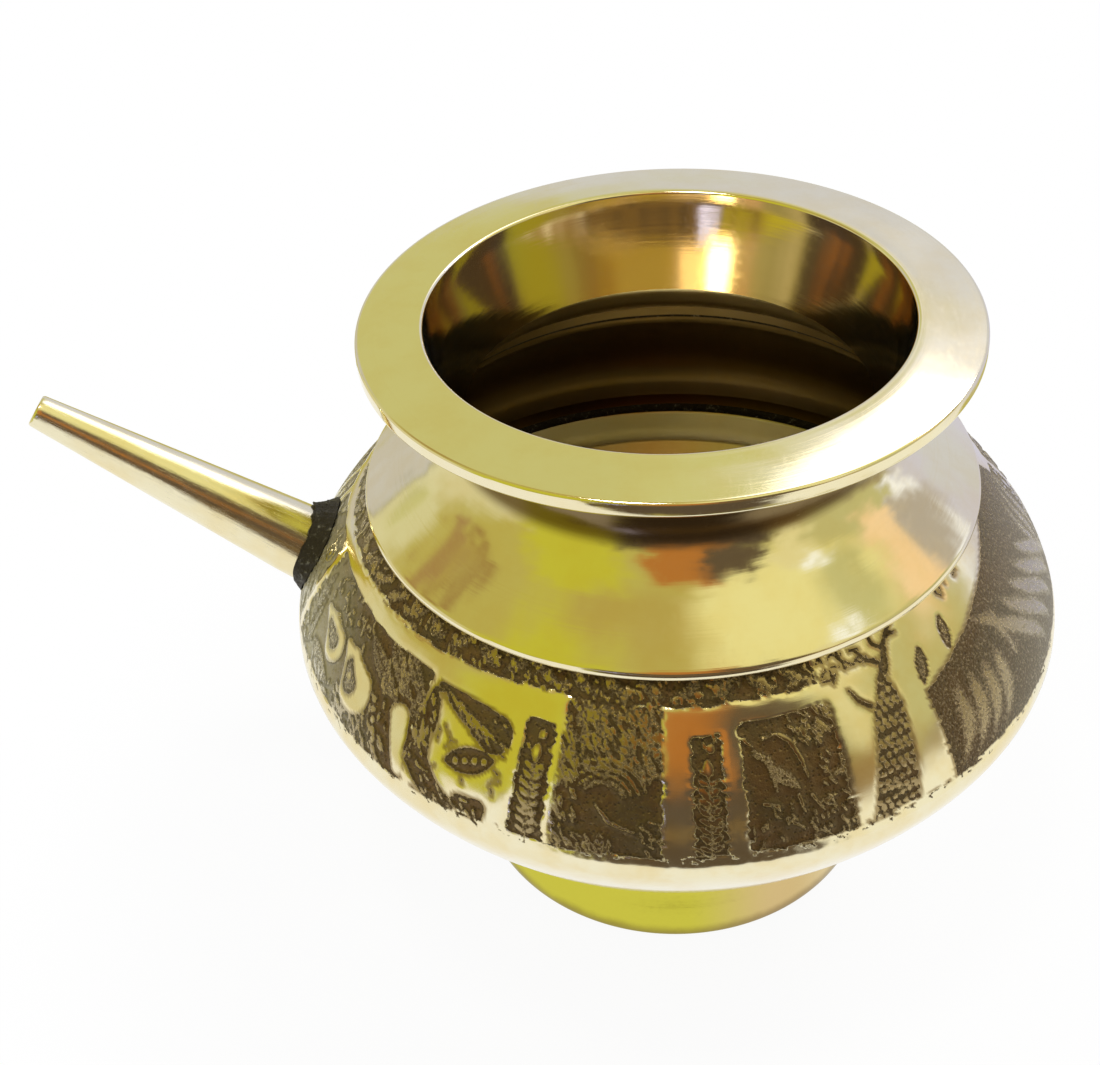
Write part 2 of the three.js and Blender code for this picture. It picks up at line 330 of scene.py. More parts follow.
class Graph:
    """Adds nodes to a node tree. Inputs are sockets or plain values."""

    def __init__(self, tree):
        self.tree = tree
        tree.nodes.clear()

    def node(self, kind, inputs=(), **settings):
        made = self.tree.nodes.new(kind)
        for key, value in settings.items():
            setattr(made, key, value)
        for key, value in dict(inputs).items():
            self.feed(made.inputs[key], value)
        return made

    def feed(self, socket, value):
        if isinstance(value, bpy.types.NodeSocket):
            self.tree.links.new(value, socket)
        else:
            socket.default_value = value

    def math(self, operation, a, b=0.0, c=0.0, clamp=False):
        made = self.node("ShaderNodeMath", {0: a, 1: b, 2: c}, operation=operation, use_clamp=clamp)
        return made.outputs[0]

    def plus(self, a, b, clamp=False):
        return self.math("ADD", a, b, clamp=clamp)

    def times(self, a, b, plus=None):
        if plus is None:
            return self.math("MULTIPLY", a, b)
        return self.math("MULTIPLY_ADD", a, b, plus)

    def mix(self, factor, a, b):
        """Mix of two colours."""
        made = self.node("ShaderNodeMix", data_type="RGBA")
        for key, value in ((0, factor), (6, a), (7, b)):
            self.feed(made.inputs[key], value)
        return made.outputs[2]

    def range(self, value, low, high, to_low=0.0, to_high=1.0, smooth=True):
        made = self.node(
            "ShaderNodeMapRange",
            {0: value, 1: low, 2: high, 3: to_low, 4: to_high},
            interpolation_type="SMOOTHSTEP" if smooth else "LINEAR",
        )
        return made.outputs[0]

    def noise(self, vector, scale, detail=2.0, roughness=0.5):
        inputs = {"Vector": vector, "Scale": scale, "Detail": detail, "Roughness": roughness}
        return self.node("ShaderNodeTexNoise", inputs).outputs["Fac"]

    def scaled(self, vector, x, y, z):
        made = self.node("ShaderNodeVectorMath", {0: vector, 1: (x, y, z)}, operation="MULTIPLY")
        return made.outputs[0]

    def split(self, vector):
        return self.node("ShaderNodeSeparateXYZ", {0: vector}).outputs

    def mapped(self, vector, rotation, scale=(1.0, 1.0, 1.0)):
        inputs = {"Vector": vector, "Rotation": rotation, "Scale": scale}
        return self.node("ShaderNodeMapping", inputs).outputs[0]

    def attribute(self, name):
        return self.node("ShaderNodeAttribute", attribute_name=name).outputs["Fac"]

    def place(self):
        """Place on the object in millimetres from the pot's axis."""
        coordinates = self.node("ShaderNodeTexCoord").outputs["Object"]
        return self.scaled(coordinates, 1 / MM, 1 / MM, 1 / MM)

    def turning(self, place):
        """Coordinates that run round with the lathe, and the height."""
        x, y, z = self.split(place)
        radius = self.math("SQRT", self.times(x, x, plus=self.times(y, y)))
        drift = self.math("DIVIDE", self.times(y, 0.6, plus=x), 60.0)
        made = self.node("ShaderNodeCombineXYZ", {0: radius, 1: z, 2: drift})
        return made.outputs[0], z

    def lathe_marks(self, lathe):
        return self.noise(self.scaled(lathe, 9.0, 9.0, 0.6), 1.0, 3.0, 0.6)

    def dents(self, place):
        """Broad shallow waves of beaten and turned metal."""
        return self.noise(place, 0.085, 1.0, 0.4)

    def bumps(self, *layers):
        """Normal from several heights with their depths in millimetres, the first one lowest."""
        normal = None
        for height, depth in layers:
            inputs = {"Height": self.times(height, depth), "Distance": MM, "Strength": 1.0}
            if normal is not None:
                inputs["Normal"] = normal
            normal = self.node("ShaderNodeBump", inputs).outputs["Normal"]
        return normal


def new_material(name):
    material = bpy.data.materials.new(name)
    material.use_nodes = True
    return material, Graph(material.node_tree)


def finish_metal(graph, color, roughness, normal, metallic=1.0, anisotropic=0.0):
    """Principled shader with the given sockets, wired to the output."""
    shader = graph.node(
        "ShaderNodeBsdfPrincipled",
        {"Base Color": color, "Roughness": roughness, "Metallic": metallic, "Anisotropic": anisotropic,
         "Normal": normal},
    )
    if anisotropic:
        tangent = graph.node("ShaderNodeTangent", direction_type="RADIAL", axis="Z")
        graph.feed(shader.inputs["Tangent"], tangent.outputs[0])
    graph.node("ShaderNodeOutputMaterial", {"Surface": shader.outputs[0]})


CLEAN_BRASS = (0.87, 0.80, 0.56, 1)
WARM_BRASS = (0.84, 0.72, 0.42, 1)
YELLOW_REFLECTION = (0.60, 0.55, 0.06, 1)
THROAT_GOLD_REFLECTION = (0.74, 0.54, 0.24, 1)
THROAT_GREY_REFLECTION = (0.62, 0.64, 0.68, 1)
WORN_EDGE_AND_SHADE = (0.60, 0.45, 0.20, 1)
FOOT_TAN_REFLECTION = (0.66, 0.49, 0.22, 1)
TARNISH_AND_SHADE = (0.16, 0.10, 0.035, 1)
RAISED_BROWN = (0.31, 0.22, 0.095, 1)
LIT_SIDE_GREY = (0.66, 0.63, 0.50, 1)
SIDE_SHADE = (0.42, 0.38, 0.27, 1)
GROUND_BROWN = (0.17, 0.105, 0.045, 1)
GROUND_OLIVE = (0.145, 0.105, 0.05, 1)
CUT_DARK = (0.045, 0.034, 0.016, 1)
SOLDER_DARK = (0.045, 0.038, 0.026, 1)
SOLDER_GREY = (0.30, 0.29, 0.24, 1)


def turned_brass(name, marks, waviness, roughness, foot_reflection=False, tarnish_shade_and_reflection=False):
    """Polished brass with lathe marks, satin where the mesh says inside."""
    material, graph = new_material(name)
    place = graph.place()
    lathe, height = graph.turning(place)
    fine = graph.lathe_marks(lathe)
    broad = graph.noise(graph.scaled(lathe, 1.6, 1.6, 0.8), 1.0, 2.0, 0.5)
    worn = graph.noise(place, 0.045, 2.0, 0.5)
    cloud = graph.noise(place, 0.12, 4.0, 0.6)
    scuffs = graph.noise(graph.scaled(place, 1.2, 0.25, 0.9), 1.4, 5.0, 0.7)
    line = graph.range(fine, 0.60, 0.72)
    across = graph.split(place)[0]
    inner = graph.attribute("inside")
    color = graph.mix(graph.range(cloud, 0.35, 0.75, 0.0, 0.6), CLEAN_BRASS, WARM_BRASS)
    color = graph.mix(graph.times(line, 0.5 * marks), color, WARM_BRASS)
    rough = graph.plus(roughness, graph.range(scuffs, 0.45, 0.8, 0.0, 0.08))
    rough = graph.plus(rough, graph.times(line, 0.08 * marks))
    rough = graph.times(inner, 0.20, plus=rough)
    # The foot gets a painted reflection, yellow on the left and tan on the right, and a darker bottom band
    if foot_reflection:
        color = foot_reflection_and_low_band(graph, color, across, height, cloud)
    # Tarnish and painted shade inside, painted shade and painted reflection under the rim, painted
    # reflection in the throat
    if tarnish_shade_and_reflection:
        painted_beneath_rim = graph.attribute("painted_beneath_rim")
        color = darkened(graph, color, across, height, cloud, inner, painted_beneath_rim)
        rough = graph.times(painted_beneath_rim, 0.10, plus=rough)
    scratched = graph.times(fine, graph.range(worn, 0.35, 0.65, 0.3, 1.0))
    normal = graph.bumps((graph.dents(place), waviness), (broad, 0.006 * marks), (scratched, 0.004 * marks))
    finish_metal(graph, color, rough, normal, anisotropic=0.3)
    return material


def foot_reflection_and_low_band(graph, color, across, height, cloud):
    """Painted reflection, yellow on the left and tan on the right of the middle, and darker along the
    bottom edge by the floor.
    """
    # Painted reflection: yellow on the left, tan on the right
    foot_color = graph.mix(graph.range(across, 2.0, 18.0), YELLOW_REFLECTION, FOOT_TAN_REFLECTION)
    color = graph.mix(graph.range(across, 20.0, 33.0, 1.0, 0.3), color, foot_color)
    # Darker band along the bottom edge, with a ragged top
    low_band = graph.plus(height, graph.times(cloud, 2.0))
    return graph.mix(graph.range(low_band, 1.6, 3.6, 0.6, 0.0), color, TARNISH_AND_SHADE)


def darkened(graph, color, across, height, cloud, inner, painted_beneath_rim):
    """Tarnish and painted shade inside below the throat, painted shade and painted reflection on the neck
    under the rim, and a painted reflection in the throat, gold in the middle and grey at its sides.
    """
    # Tarnish with painted shade inside, starting right below the throat
    depth = graph.range(height, throat_height - 1.8, throat_height - 0.4, 1.0, 0.0)
    color = graph.mix(graph.times(graph.times(depth, inner), 0.9), color, TARNISH_AND_SHADE)
    # Painted reflection in the throat: gold in the middle, grey at its sides
    aside = graph.range(graph.math("ABSOLUTE", across), 20.0, 32.0)
    throat_reflection = graph.mix(aside, THROAT_GOLD_REFLECTION, THROAT_GREY_REFLECTION)
    color = graph.mix(graph.times(graph.attribute("throat"), 0.8), color, throat_reflection)
    # Painted reflection under the rim, yellow on the left and brown on the right, above a painted shade low
    # in the crevice at the neck's waist
    under = graph.mix(graph.range(across, -6.0, 16.0), YELLOW_REFLECTION, WORN_EDGE_AND_SHADE)
    low = graph.times(cloud, 5.0, plus=height)
    under = graph.mix(graph.range(low, throat_height + 7.0, throat_height + 9.0), TARNISH_AND_SHADE, under)
    return graph.mix(graph.times(painted_beneath_rim, 0.92), color, under)


def chased_brass(name):
    """Polished brass above a darkened, matted ground, divided by the mesh's relief attribute."""
    material, graph = new_material(name)
    place = graph.place()
    lathe, _ = graph.turning(place)
    inner, worked = graph.attribute("inside"), graph.attribute("worked")
    grain = graph.noise(place, 2.6, 4.0, 0.65)
    blotch = graph.noise(place, 0.16, 3.0, 0.6)
    wander = graph.range(grain, 0.3, 0.7, -0.10, 0.10, smooth=False)
    edge = graph.plus(graph.attribute("relief"), wander)
    ground = graph.range(edge, -0.02, 0.12)
    outline = graph.times(ground, graph.range(edge, 0.16, 0.40, 1.0, 0.0))
    pits = graph.node("ShaderNodeTexVoronoi", {"Vector": place, "Scale": 1.5, "Randomness": 1.0})
    pit = graph.range(pits.outputs["Distance"], 0.12, 0.42)
    slanted = graph.mapped(place, (0.3, 0.9, 0.5), (1.0, 2.6, 1.0))
    fleck = graph.range(graph.noise(slanted, 1.25, 3.0, 0.6), 0.58, 0.66)
    across = graph.split(place)[0]
    # Painted light on the belly's sides: pale grey on the left, darker grey on the right
    at_side = graph.range(graph.math("ABSOLUTE", across), 40.0, 59.0)
    side = graph.mix(graph.range(across, -20.0, 20.0), LIT_SIDE_GREY, SIDE_SHADE)

    metal = graph.mix(graph.range(blotch, 0.3, 0.7), CLEAN_BRASS, WARM_BRASS)
    # Worked metal at the sides takes the painted side light
    metal = graph.mix(graph.times(worked, 0.85), metal, graph.mix(at_side, RAISED_BROWN, side))
    dark = graph.mix(graph.range(blotch, 0.35, 0.65), GROUND_BROWN, GROUND_OLIVE)
    dark = graph.mix(graph.range(pit, 0.0, 1.0, 0.5, 0.0, smooth=False), dark, CUT_DARK)
    dark = graph.mix(graph.times(fleck, 0.4), dark, RAISED_BROWN)
    # The ground at the sides takes the same painted side light
    dark = graph.mix(graph.times(at_side, 0.85), dark, side)
    dark = graph.mix(graph.times(outline, 0.4), dark, CUT_DARK)
    color = graph.mix(ground, metal, dark)
    # Tarnish with painted shade on the belly's inner wall
    color = graph.mix(graph.times(inner, 0.92), color, TARNISH_AND_SHADE)
    rough = graph.range(ground, 0.0, 1.0, 0.15, 0.42, smooth=False)
    rough = graph.times(worked, 0.10, plus=rough)
    rough = graph.times(graph.times(fleck, ground), -0.16, plus=rough)
    rough = graph.times(inner, 0.14, plus=rough)
    metallic = graph.range(ground, 0.0, 1.0, 1.0, 0.9, smooth=False)
    matted = graph.times(graph.plus(grain, graph.times(pit, 0.8)), ground)
    normal = graph.bumps((graph.dents(place), 0.08), (graph.lathe_marks(lathe), 0.003), (matted, 0.10))
    finish_metal(graph, color, rough, normal, metallic=metallic)
    return material


def spout_brass(name):
    """Brass that was filed and buffed along the spout."""
    material, graph = new_material(name)
    place = graph.place()
    level = graph.mapped(place, (0.0, -spout_angle, 0.0))
    strokes = graph.noise(graph.scaled(level, 0.12, 4.5, 4.5), 1.0, 4.0, 0.6)
    cloud = graph.noise(place, 0.10, 3.0, 0.6)
    wave = graph.noise(graph.scaled(level, 0.4, 1.6, 1.6), 0.16, 1.0, 0.4)
    color = graph.mix(graph.range(cloud, 0.35, 0.75), CLEAN_BRASS, WARM_BRASS)
    rough = graph.range(strokes, 0.35, 0.75, 0.14, 0.30)
    finish_metal(graph, color, rough, graph.bumps((wave, 0.12), (strokes, 0.012)))
    return material


def rough_solder(name):
    """Solder left dark and scaly by the flame, grey where it was touched."""
    material, graph = new_material(name)
    place = graph.place()
    lumps = graph.noise(place, 0.9, 5.0, 0.65)
    scale = graph.noise(place, 3.2, 4.0, 0.7)
    color = graph.mix(graph.range(lumps, 0.55, 0.75), SOLDER_DARK, SOLDER_GREY)
    color = graph.mix(graph.range(scale, 0.62, 0.8, 0.0, 0.5), color, WORN_EDGE_AND_SHADE)
    rough = graph.range(scale, 0.3, 0.8, 0.62, 0.36)
    finish_metal(graph, color, rough, graph.bumps((lumps, 0.5), (scale, 0.12)), metallic=0.75)
    return material


def set_attribute(piece, name, values):
    layer = piece.data.attributes.new(name, "FLOAT", "POINT")
    layer.data.foreach_set("value", np.asarray(values, np.float32))


def cylindrical(piece):
    """Distance from the axis, height and azimuth of every point of a piece, in millimetres and radians."""
    co = np.empty(len(piece.data.vertices) * 3)
    piece.data.vertices.foreach_get("co", co)
    x, y, z = co.reshape(-1, 3).T / MM
    return np.hypot(x, y), z, np.arctan2(x, -y)


# Rim, neck and shoulder


def rim_neck_shoulder(material):
    rim_edge = pot_height - rim_rise
    rim_under = rim_edge - rim_thickness
    neck_radius = throat_radius + collar_wall
    middle_height = 0.5 * (throat_height + shoulder_height)
    turnover = pt(0.5 * (neck_radius + shoulder_radius), middle_height - turnover_drop)
    waist = pt(neck_radius + waist_out, throat_height + waist_rise)
    under_rim = bezier(
        pt(rim_radius - edge_break, rim_under),
        pt(rim_radius - under_rim_pull * (rim_radius - neck_radius), rim_under - edge_break),
        waist + (0, 0.5 * throat_flare),
        waist,
        26,
    )
    low_pull = neck_pull * turnover_pull
    neck_flare = bezier(waist, waist - (0, flare_pull), turnover - low_pull, turnover, 24)
    turn = np.linspace(roll_turn, 0, 8)
    roll = np.column_stack([
        shoulder_radius - shoulder_roll * (1 - np.cos(turn)),
        shoulder_height + skirt_height + shoulder_roll * np.sin(turn),
    ])
    tangent = pt(-math.sin(roll_turn), math.cos(roll_turn))
    slope = bezier(turnover, turnover + turnover_pull, roll[0] + shoulder_pull * tangent, roll[0], 24)
    shoulder = run(neck_flare, slope, roll)
    inside = offset(shoulder[:-len(roll)], collar_wall)
    within = inside[:, 0] < lip_inner_radius - seam_bead - 0.4
    inside = inside[within & (inside[:, 1] < throat_height - 0.2)]
    throat = np.linspace(pt(throat_radius, throat_height), pt(mouth_radius, pot_height - mouth_rounding), 8)
    mouth_turn = np.linspace(0, math.pi / 2, 8)[1:]
    mouth_edge = np.column_stack([
        mouth_radius + mouth_rounding * (1 - np.cos(mouth_turn)),
        pot_height - mouth_rounding * (1 - np.sin(mouth_turn)),
    ])
    top_corner = pt(rim_radius, rim_edge)
    low_corner = pt(rim_radius + 0.05, rim_under)
    skirt_low = pt(shoulder_radius, shoulder_height)
    rim_top = bezier(
        mouth_edge[-1],
        mouth_edge[-1] + (2.5, -0.02),
        top_corner - (4, -0.35),
        top_corner - (0.7, -0.05),
        10,
    )
    profile = run(
        lip_corner - (seam_bead, 0),
        inside[::-1],
        throat,
        mouth_edge,
        rim_top[1:],
        fillet(mouth_edge[-1], top_corner, low_corner, 0.55, 7),
        fillet(top_corner, low_corner, under_rim[3], 0.6, 6),
        under_rim[2:],
        shoulder,
        fillet(roll[-1], skirt_low, pt(lip_outer_radius, shoulder_height), 0.8 * edge_break, 5),
        pt(lip_outer_radius + 0.02, shoulder_height),
        pt(lip_outer_radius + 0.02, lip_top),
        lip_corner,
    )
    nodes = ["rim_and_shoulder"]
    piece = turned("rim_neck_shoulder", profile, RIM_COLUMNS, material, nodes)
    radius, height, _ = cylindrical(piece)
    outer = np.interp(height, shoulder[::-1, 1], shoulder[::-1, 0])
    set_attribute(piece, "inside", (height < throat_height - 0.3) & (radius < outer - 0.5 * collar_wall))
    outside = run(under_rim, shoulder)
    outer = np.interp(height, outside[::-1, 1], outside[::-1, 0])
    # Where the painted shade and painted reflection under the rim go
    painted_beneath_rim = smooth_step(height, throat_height - 2.4, throat_height - 0.6)
    set_attribute(piece, "painted_beneath_rim", painted_beneath_rim * ((height < rim_under + 0.1) & (radius > outer - 0.3)))
    in_throat = (height > throat_height - 0.3) & (height < pot_height - 0.3) & (radius < mouth_radius + 0.1)
    set_attribute(piece, "throat", in_throat & (radius < outer - 0.5))


# Chasing on the belly


def dull(shape):
    """The same shape left matt, with the ground showing through it."""
    return np.maximum(shape, 0.05)


def arc(cx, cy, radius, start, end, steps=12):
    angles = np.radians(np.linspace(start, end, steps + 1))
    return np.column_stack([cx + radius * np.cos(angles), cy + radius * np.sin(angles)])


class Chasing:
    """A design on the unrolled belly, in millimetres: x across its panel, y down from the panels' top.

    Each shape is a distance, below 0 inside it. The metal is below 0 where it is polished and above 0
    on the sunk ground.
    """

    def __init__(self, x, y, rng):
        self.x, self.y, self.rng = x, y, rng
        self.metal = np.full_like(x, 1e3)

    def add(self, *shapes):
        for shape in shapes:
            self.metal = np.minimum(self.metal, shape)

    def cut(self, *shapes):
        for shape in shapes:
            self.metal = np.maximum(self.metal, -shape)

    def scatter(self, *patches):
        """Adds patches of flecks, each given by what flecks takes."""
        for patch in patches:
            self.add(self.flecks(*patch))

    def disc(self, cx, cy, radius):
        return np.hypot(self.x - cx, self.y - cy) - radius

    def brush(self, route, widths):
        """Stroke along a route, with half its width given at each point or once for all."""
        route = np.asarray(route, float)
        widths = np.broadcast_to(np.asarray(widths, float), len(route))
        best = np.full_like(self.x, 1e3)
        steps = zip(route, np.diff(route, axis=0), widths, np.diff(widths))
        for (from_x, from_y), (dx, dy), width, widening in steps:
            x, y = self.x - from_x, self.y - from_y
            share = np.clip((x * dx + y * dy) / max(dx * dx + dy * dy, 1e-9), 0, 1)
            stroke = np.hypot(x - share * dx, y - share * dy) - (width + share * widening)
            best = np.minimum(best, stroke)
        return best

    def leaf(self, root, tip, fat):
        """Pointed leaf between two points, fat wide on each side of its midrib."""
        root, tip = np.asarray(root, float), np.asarray(tip, float)
        half = np.linalg.norm(tip - root) / 2
        along = (tip - root) / (2 * half)
        middle = (root + tip) / 2
        x, y = self.x - middle[0], self.y - middle[1]
        u = np.abs(x * along[0] + y * along[1])
        v = np.abs(y * along[0] - x * along[1])
        sink = (half * half - fat * fat) / (2 * fat)
        return np.hypot(u, v + sink) - math.hypot(half, sink)

    def veined_leaf(self, root, tip, fat):
        """Leaf with a sunk midrib."""
        root, tip = np.asarray(root, float), np.asarray(tip, float)
        rib = self.brush([root + 0.12 * (tip - root), root + 0.85 * (tip - root)], [0.22, 0.10])
        return np.maximum(self.leaf(root, tip, fat), -rib)

    def flecks(self, count, low, high, slant, spread, length, width):
        """Short cuts scattered over a patch, all leaning about the same way."""
        best = np.full_like(self.x, 1e3)
        for _ in range(count):
            middle = self.rng.uniform(low, high)
            turn = math.radians(self.rng.normal(slant, spread))
            reach = 0.5 * length * self.rng.uniform(0.6, 1.3)
            half = reach * np.array([math.cos(turn), math.sin(turn)])
            cut = self.brush([middle - half, middle + half], width * self.rng.uniform(0.7, 1.2))
            best = np.minimum(best, cut)
        return best

    def paisley(self, body, body_widths, heart, heart_widths):
        """Pale drop with a sunk line round a dull heart."""
        core = self.brush(heart, heart_widths)
        drop = np.maximum(self.brush(body, body_widths), 0.24 - np.abs(core))
        return np.where(core < 0, dull(drop), drop)

    def ring(self, cx, cy, radius):
        return np.abs(self.disc(cx, cy, radius)) - 0.2


def paisley_panel(art):
    """Two pale paisleys, long leaves on their right and a pale strip between the leaves and the wing."""
    art.add(
        art.paisley([(-12.0, 6.4), (-8.5, 7.0), (-5.3, 8.8)], [0.3, 1.6, 3.0],
                    [(-9.2, 7.4), (-5.8, 8.7)], [0.3, 1.2]),
        art.paisley([(-2.4, 6.0), (0.8, 7.4), (3.6, 10.2)], [0.3, 2.1, 4.1],
                    [(0.6, 8.2), (2.2, 10.4)], [0.6, 1.5]),
        art.disc(1.6, 9.6, 0.5),
        art.brush([(14.4, 8.4), (16.6, 15.4)], [1.9, 1.3]),
    )
    for root, tip, fat in (((2.0, 1.9), (13.4, 7.2), 1.3), ((6.2, -0.2), (15.6, 5.8), 1.2),
                           ((11.0, -0.3), (17.0, 4.0), 1.1), ((16.2, 7.6), (17.4, 3.0), 1.2),
                           ((-16.5, 2.5), (-13.0, 15.0), 1.5), ((-11.5, 12.5), (-3.0, 14.8), 1.2)):
        art.add(dull(art.veined_leaf(root, tip, fat)))
    for k in range(6):
        art.add(art.disc(8.6 + 0.55 * k, 9.0 + 1.35 * k, 0.45))
    art.scatter(
        (70, (-1.0, 12.6), (13.0, 17.0), 62, 24, 0.9, 0.15),
        (40, (-16.5, 0.4), (2.0, 5.0), 40, 40, 0.8, 0.14),
        (34, (8.0, 0.4), (13.5, 12.0), 62, 30, 0.8, 0.13),
        (30, (-16.5, 13.0), (0.0, 17.0), 70, 30, 0.9, 0.15),
    )


def wing_panel(art):
    """Sunk wing with streaks in it, a beaded oval under it and a long dark sweep round both."""
    art.metal[:] = -1e3
    art.cut(
        art.brush([(-6.0, 1.0), (-1.6, 1.9), (2.6, 3.1), (5.4, 4.0)], [0.5, 1.5, 2.4, 2.8]),
        art.leaf((-1.4, 10.3), (6.4, 7.5), 1.9),
        art.brush([(-6.2, 2.4), (-5.9, 6.0), (-6.4, 9.4), (-6.2, 12.2), (-3.4, 15.0), (0.4, 16.6)],
                  [1.0, 1.7, 2.1, 2.2, 1.9, 1.2]),
        art.brush([(2.2, 15.2), (5.0, 14.9), (4.6, 16.8)], 1.25),
        art.flecks(26, (-4.0, 5.6), (7.8, 12.0), 30, 60, 0.7, 0.13),
    )
    for k in range(4):
        root = np.array([-4.4 + 2.3 * k, 1.2 + 0.7 * k])
        art.add(
            art.leaf(root, root + (3.4, 1.8), 0.22),
            dull(art.leaf(root + (0.4, 1.0), root + (2.8, 2.8), 0.22)),
            art.disc(0.4 + 1.45 * k, 9.7 - 0.5 * k, 0.48),
        )
    art.scatter(
        (44, (-8.2, 2.0), (-4.2, 14.0), 66, 24, 0.9, 0.17),
        (24, (-5.5, 12.6), (5.8, 17.0), 40, 30, 0.8, 0.15),
        (16, (-1.0, 0.8), (7.6, 6.4), 40, 14, 0.8, 0.13),
    )


def dense_panel(art):
    """Close slanting cuts above and beside a smooth hollow, with thin arcs and a hooked line in it."""
    art.scatter((150, (-7.6, -3.6), (7.6, 4.2), 57, 16, 1.1, 0.12))
    art.add(dull(art.flecks(90, (-7.6, -3.6), (7.6, 6.0), 57, 20, 1.4, 0.22)))
    art.scatter(
        (60, (-7.6, 4.0), (-4.4, 17.0), 60, 16, 1.1, 0.12),
        (26, (-4.6, 14.0), (1.0, 17.0), 60, 20, 1.0, 0.10),
        (24, (4.6, 4.0), (7.6, 17.0), 62, 22, 0.9, 0.10),
    )
    for radius, width in ((4.2, 0.10), (5.2, 0.16), (6.3, 0.12)):
        art.add(art.brush(arc(-0.6, 10.0, radius, -150, -22), width))
    art.add(dull(art.brush(arc(-0.6, 10.0, 3.2, -140, -30), 0.4)))
    art.add(art.brush([(-1.6, 9.8), (0.4, 12.2), (3.8, 13.4)], [0.10, 0.26, 0.10]))


def crescent_panel(art):
    """A bright curved line over smooth ground, with close cuts above it and leaf cuts below."""
    art.add(
        art.brush([(-3.8, 1.5), (-1.6, 1.2), (0.1, 2.4), (1.2, 5.0), (1.8, 7.9)],
                  [0.08, 0.22, 0.30, 0.26, 0.08]),
        dull(art.brush([(-5.4, 3.2), (-3.4, 4.6), (-2.8, 8.6)], [0.3, 0.5, 0.2])),
        dull(art.leaf((-3.4, 5.2), (0.4, 9.0), 0.9)),
    )
    for ends in (((-4.8, 10.2), (-2.8, 10.7)), ((0.0, 9.8), (0.5, 12.4)), ((1.8, 10.2), (3.0, 12.5)),
                 ((3.5, 11.5), (5.2, 11.0)), ((-6.4, 1.4), (-5.4, 2.4)), ((-1.4, 13.2), (0.2, 14.6))):
        art.add(art.brush(ends, [0.18, 0.10]))
    art.scatter(
        (46, (0.6, -1.0), (7.2, 3.4), 44, 34, 0.8, 0.12),
        (26, (3.4, 3.4), (7.2, 12.0), 64, 26, 0.8, 0.10),
        (30, (1.0, 12.6), (7.0, 16.6), 74, 16, 0.8, 0.10),
        (16, (-7.2, 11.0), (0.0, 16.6), 70, 20, 0.8, 0.08),
    )


def scale_column(art):
    """Leaning trunk of small scales, with bare branches that run up to the shoulder."""
    lean = art.x + 0.22 * (art.y - 6.0)
    trunk = np.abs(lean) - np.interp(art.y, [-1.5, 3.0, 10.0, 17.0], [0.9, 2.6, 3.1, 3.6])
    trunk = np.maximum(trunk, -1.6 - art.y)
    size = 1.15
    row = np.floor(art.y / size)
    column = (lean + 0.5 * size * (row % 2)) / size
    jitter = 0.18 * np.sin(7.1 * np.floor(column) + 3.7 * row)
    scale = np.hypot(column - np.floor(column) - 0.5, art.y / size - row - 0.5 + jitter)
    art.add(size * (scale - 0.33), 0.3, -trunk)
    for route, widths in (([(1.2, -0.6), (3.0, -2.6), (4.6, -5.2), (8.4, -8.0)], [0.9, 0.7, 0.5, 0.4]),
                          ([(4.2, -4.6), (2.4, -6.0), (2.6, -7.4)], [0.4, 0.35, 0.25]),
                          ([(3.0, -2.8), (0.4, -4.2), (-1.2, -6.4)], [0.45, 0.35, 0.2]),
                          ([(5.4, -6.0), (7.6, -5.8)], [0.3, 0.15]),
                          ([(-2.0, 1.6), (-3.6, 0.2), (-4.6, -1.6)], [0.4, 0.3, 0.15])):
        art.cut(art.brush(route, widths))
    art.scatter((14, (0.0, -6.0), (6.0, 0.0), 50, 40, 0.6, 0.12))


def ridge_panel(art):
    """Worn broad ridges, like feathers laid side by side, with two small leaves at their left end."""
    ridges = Chasing(art.x + 1.6 * np.sin(0.32 * art.y + 0.6), art.y, art.rng)
    for k in range(5):
        ridges.add(ridges.leaf((-6.4 + 4.6 * k, 2.4), (1.0 + 4.9 * k, 14.6), 1.7))
    for k in range(4):
        route = [(14.0 + 3.4 * k, 14.4), (18.6 + 3.2 * k, 7.6), (20.4 + 3.4 * k, 0.6)]
        ridges.add(ridges.leaf((-26.4 + 3.4 * k, 15.8), (-20.4 + 3.5 * k, 5.4), 1.3))
        ridges.add(ridges.brush(route, [0.2, 0.95, 0.3]))
    ridges.add(art.brush([(-12.0, 0.4), (-7.6, 3.2), (-7.0, 9.4)], [0.3, 1.1, 0.3]))
    worn = np.clip(0.06 + 0.10 * ridges.metal, -0.02, 0.11)
    worn = np.minimum(worn, art.y - 1.9 + 0.26 * (art.x + 21.0))
    for root, tip, fat in (((-26.8, 2.4), (-24.6, -2.2), 1.0), ((-19.2, 0.8), (-17.6, -3.8), 0.9)):
        small = art.leaf(root, tip, fat)
        worn = np.where(small < 0.3, np.maximum(0.32 - np.abs(small), 0.05), worn)
    cuts = art.flecks(34, (-27.0, 3.0), (27.0, 16.0), 64, 34, 1.6, 0.14)
    art.metal = np.where(worn > 0, np.maximum(worn, -cuts), worn)


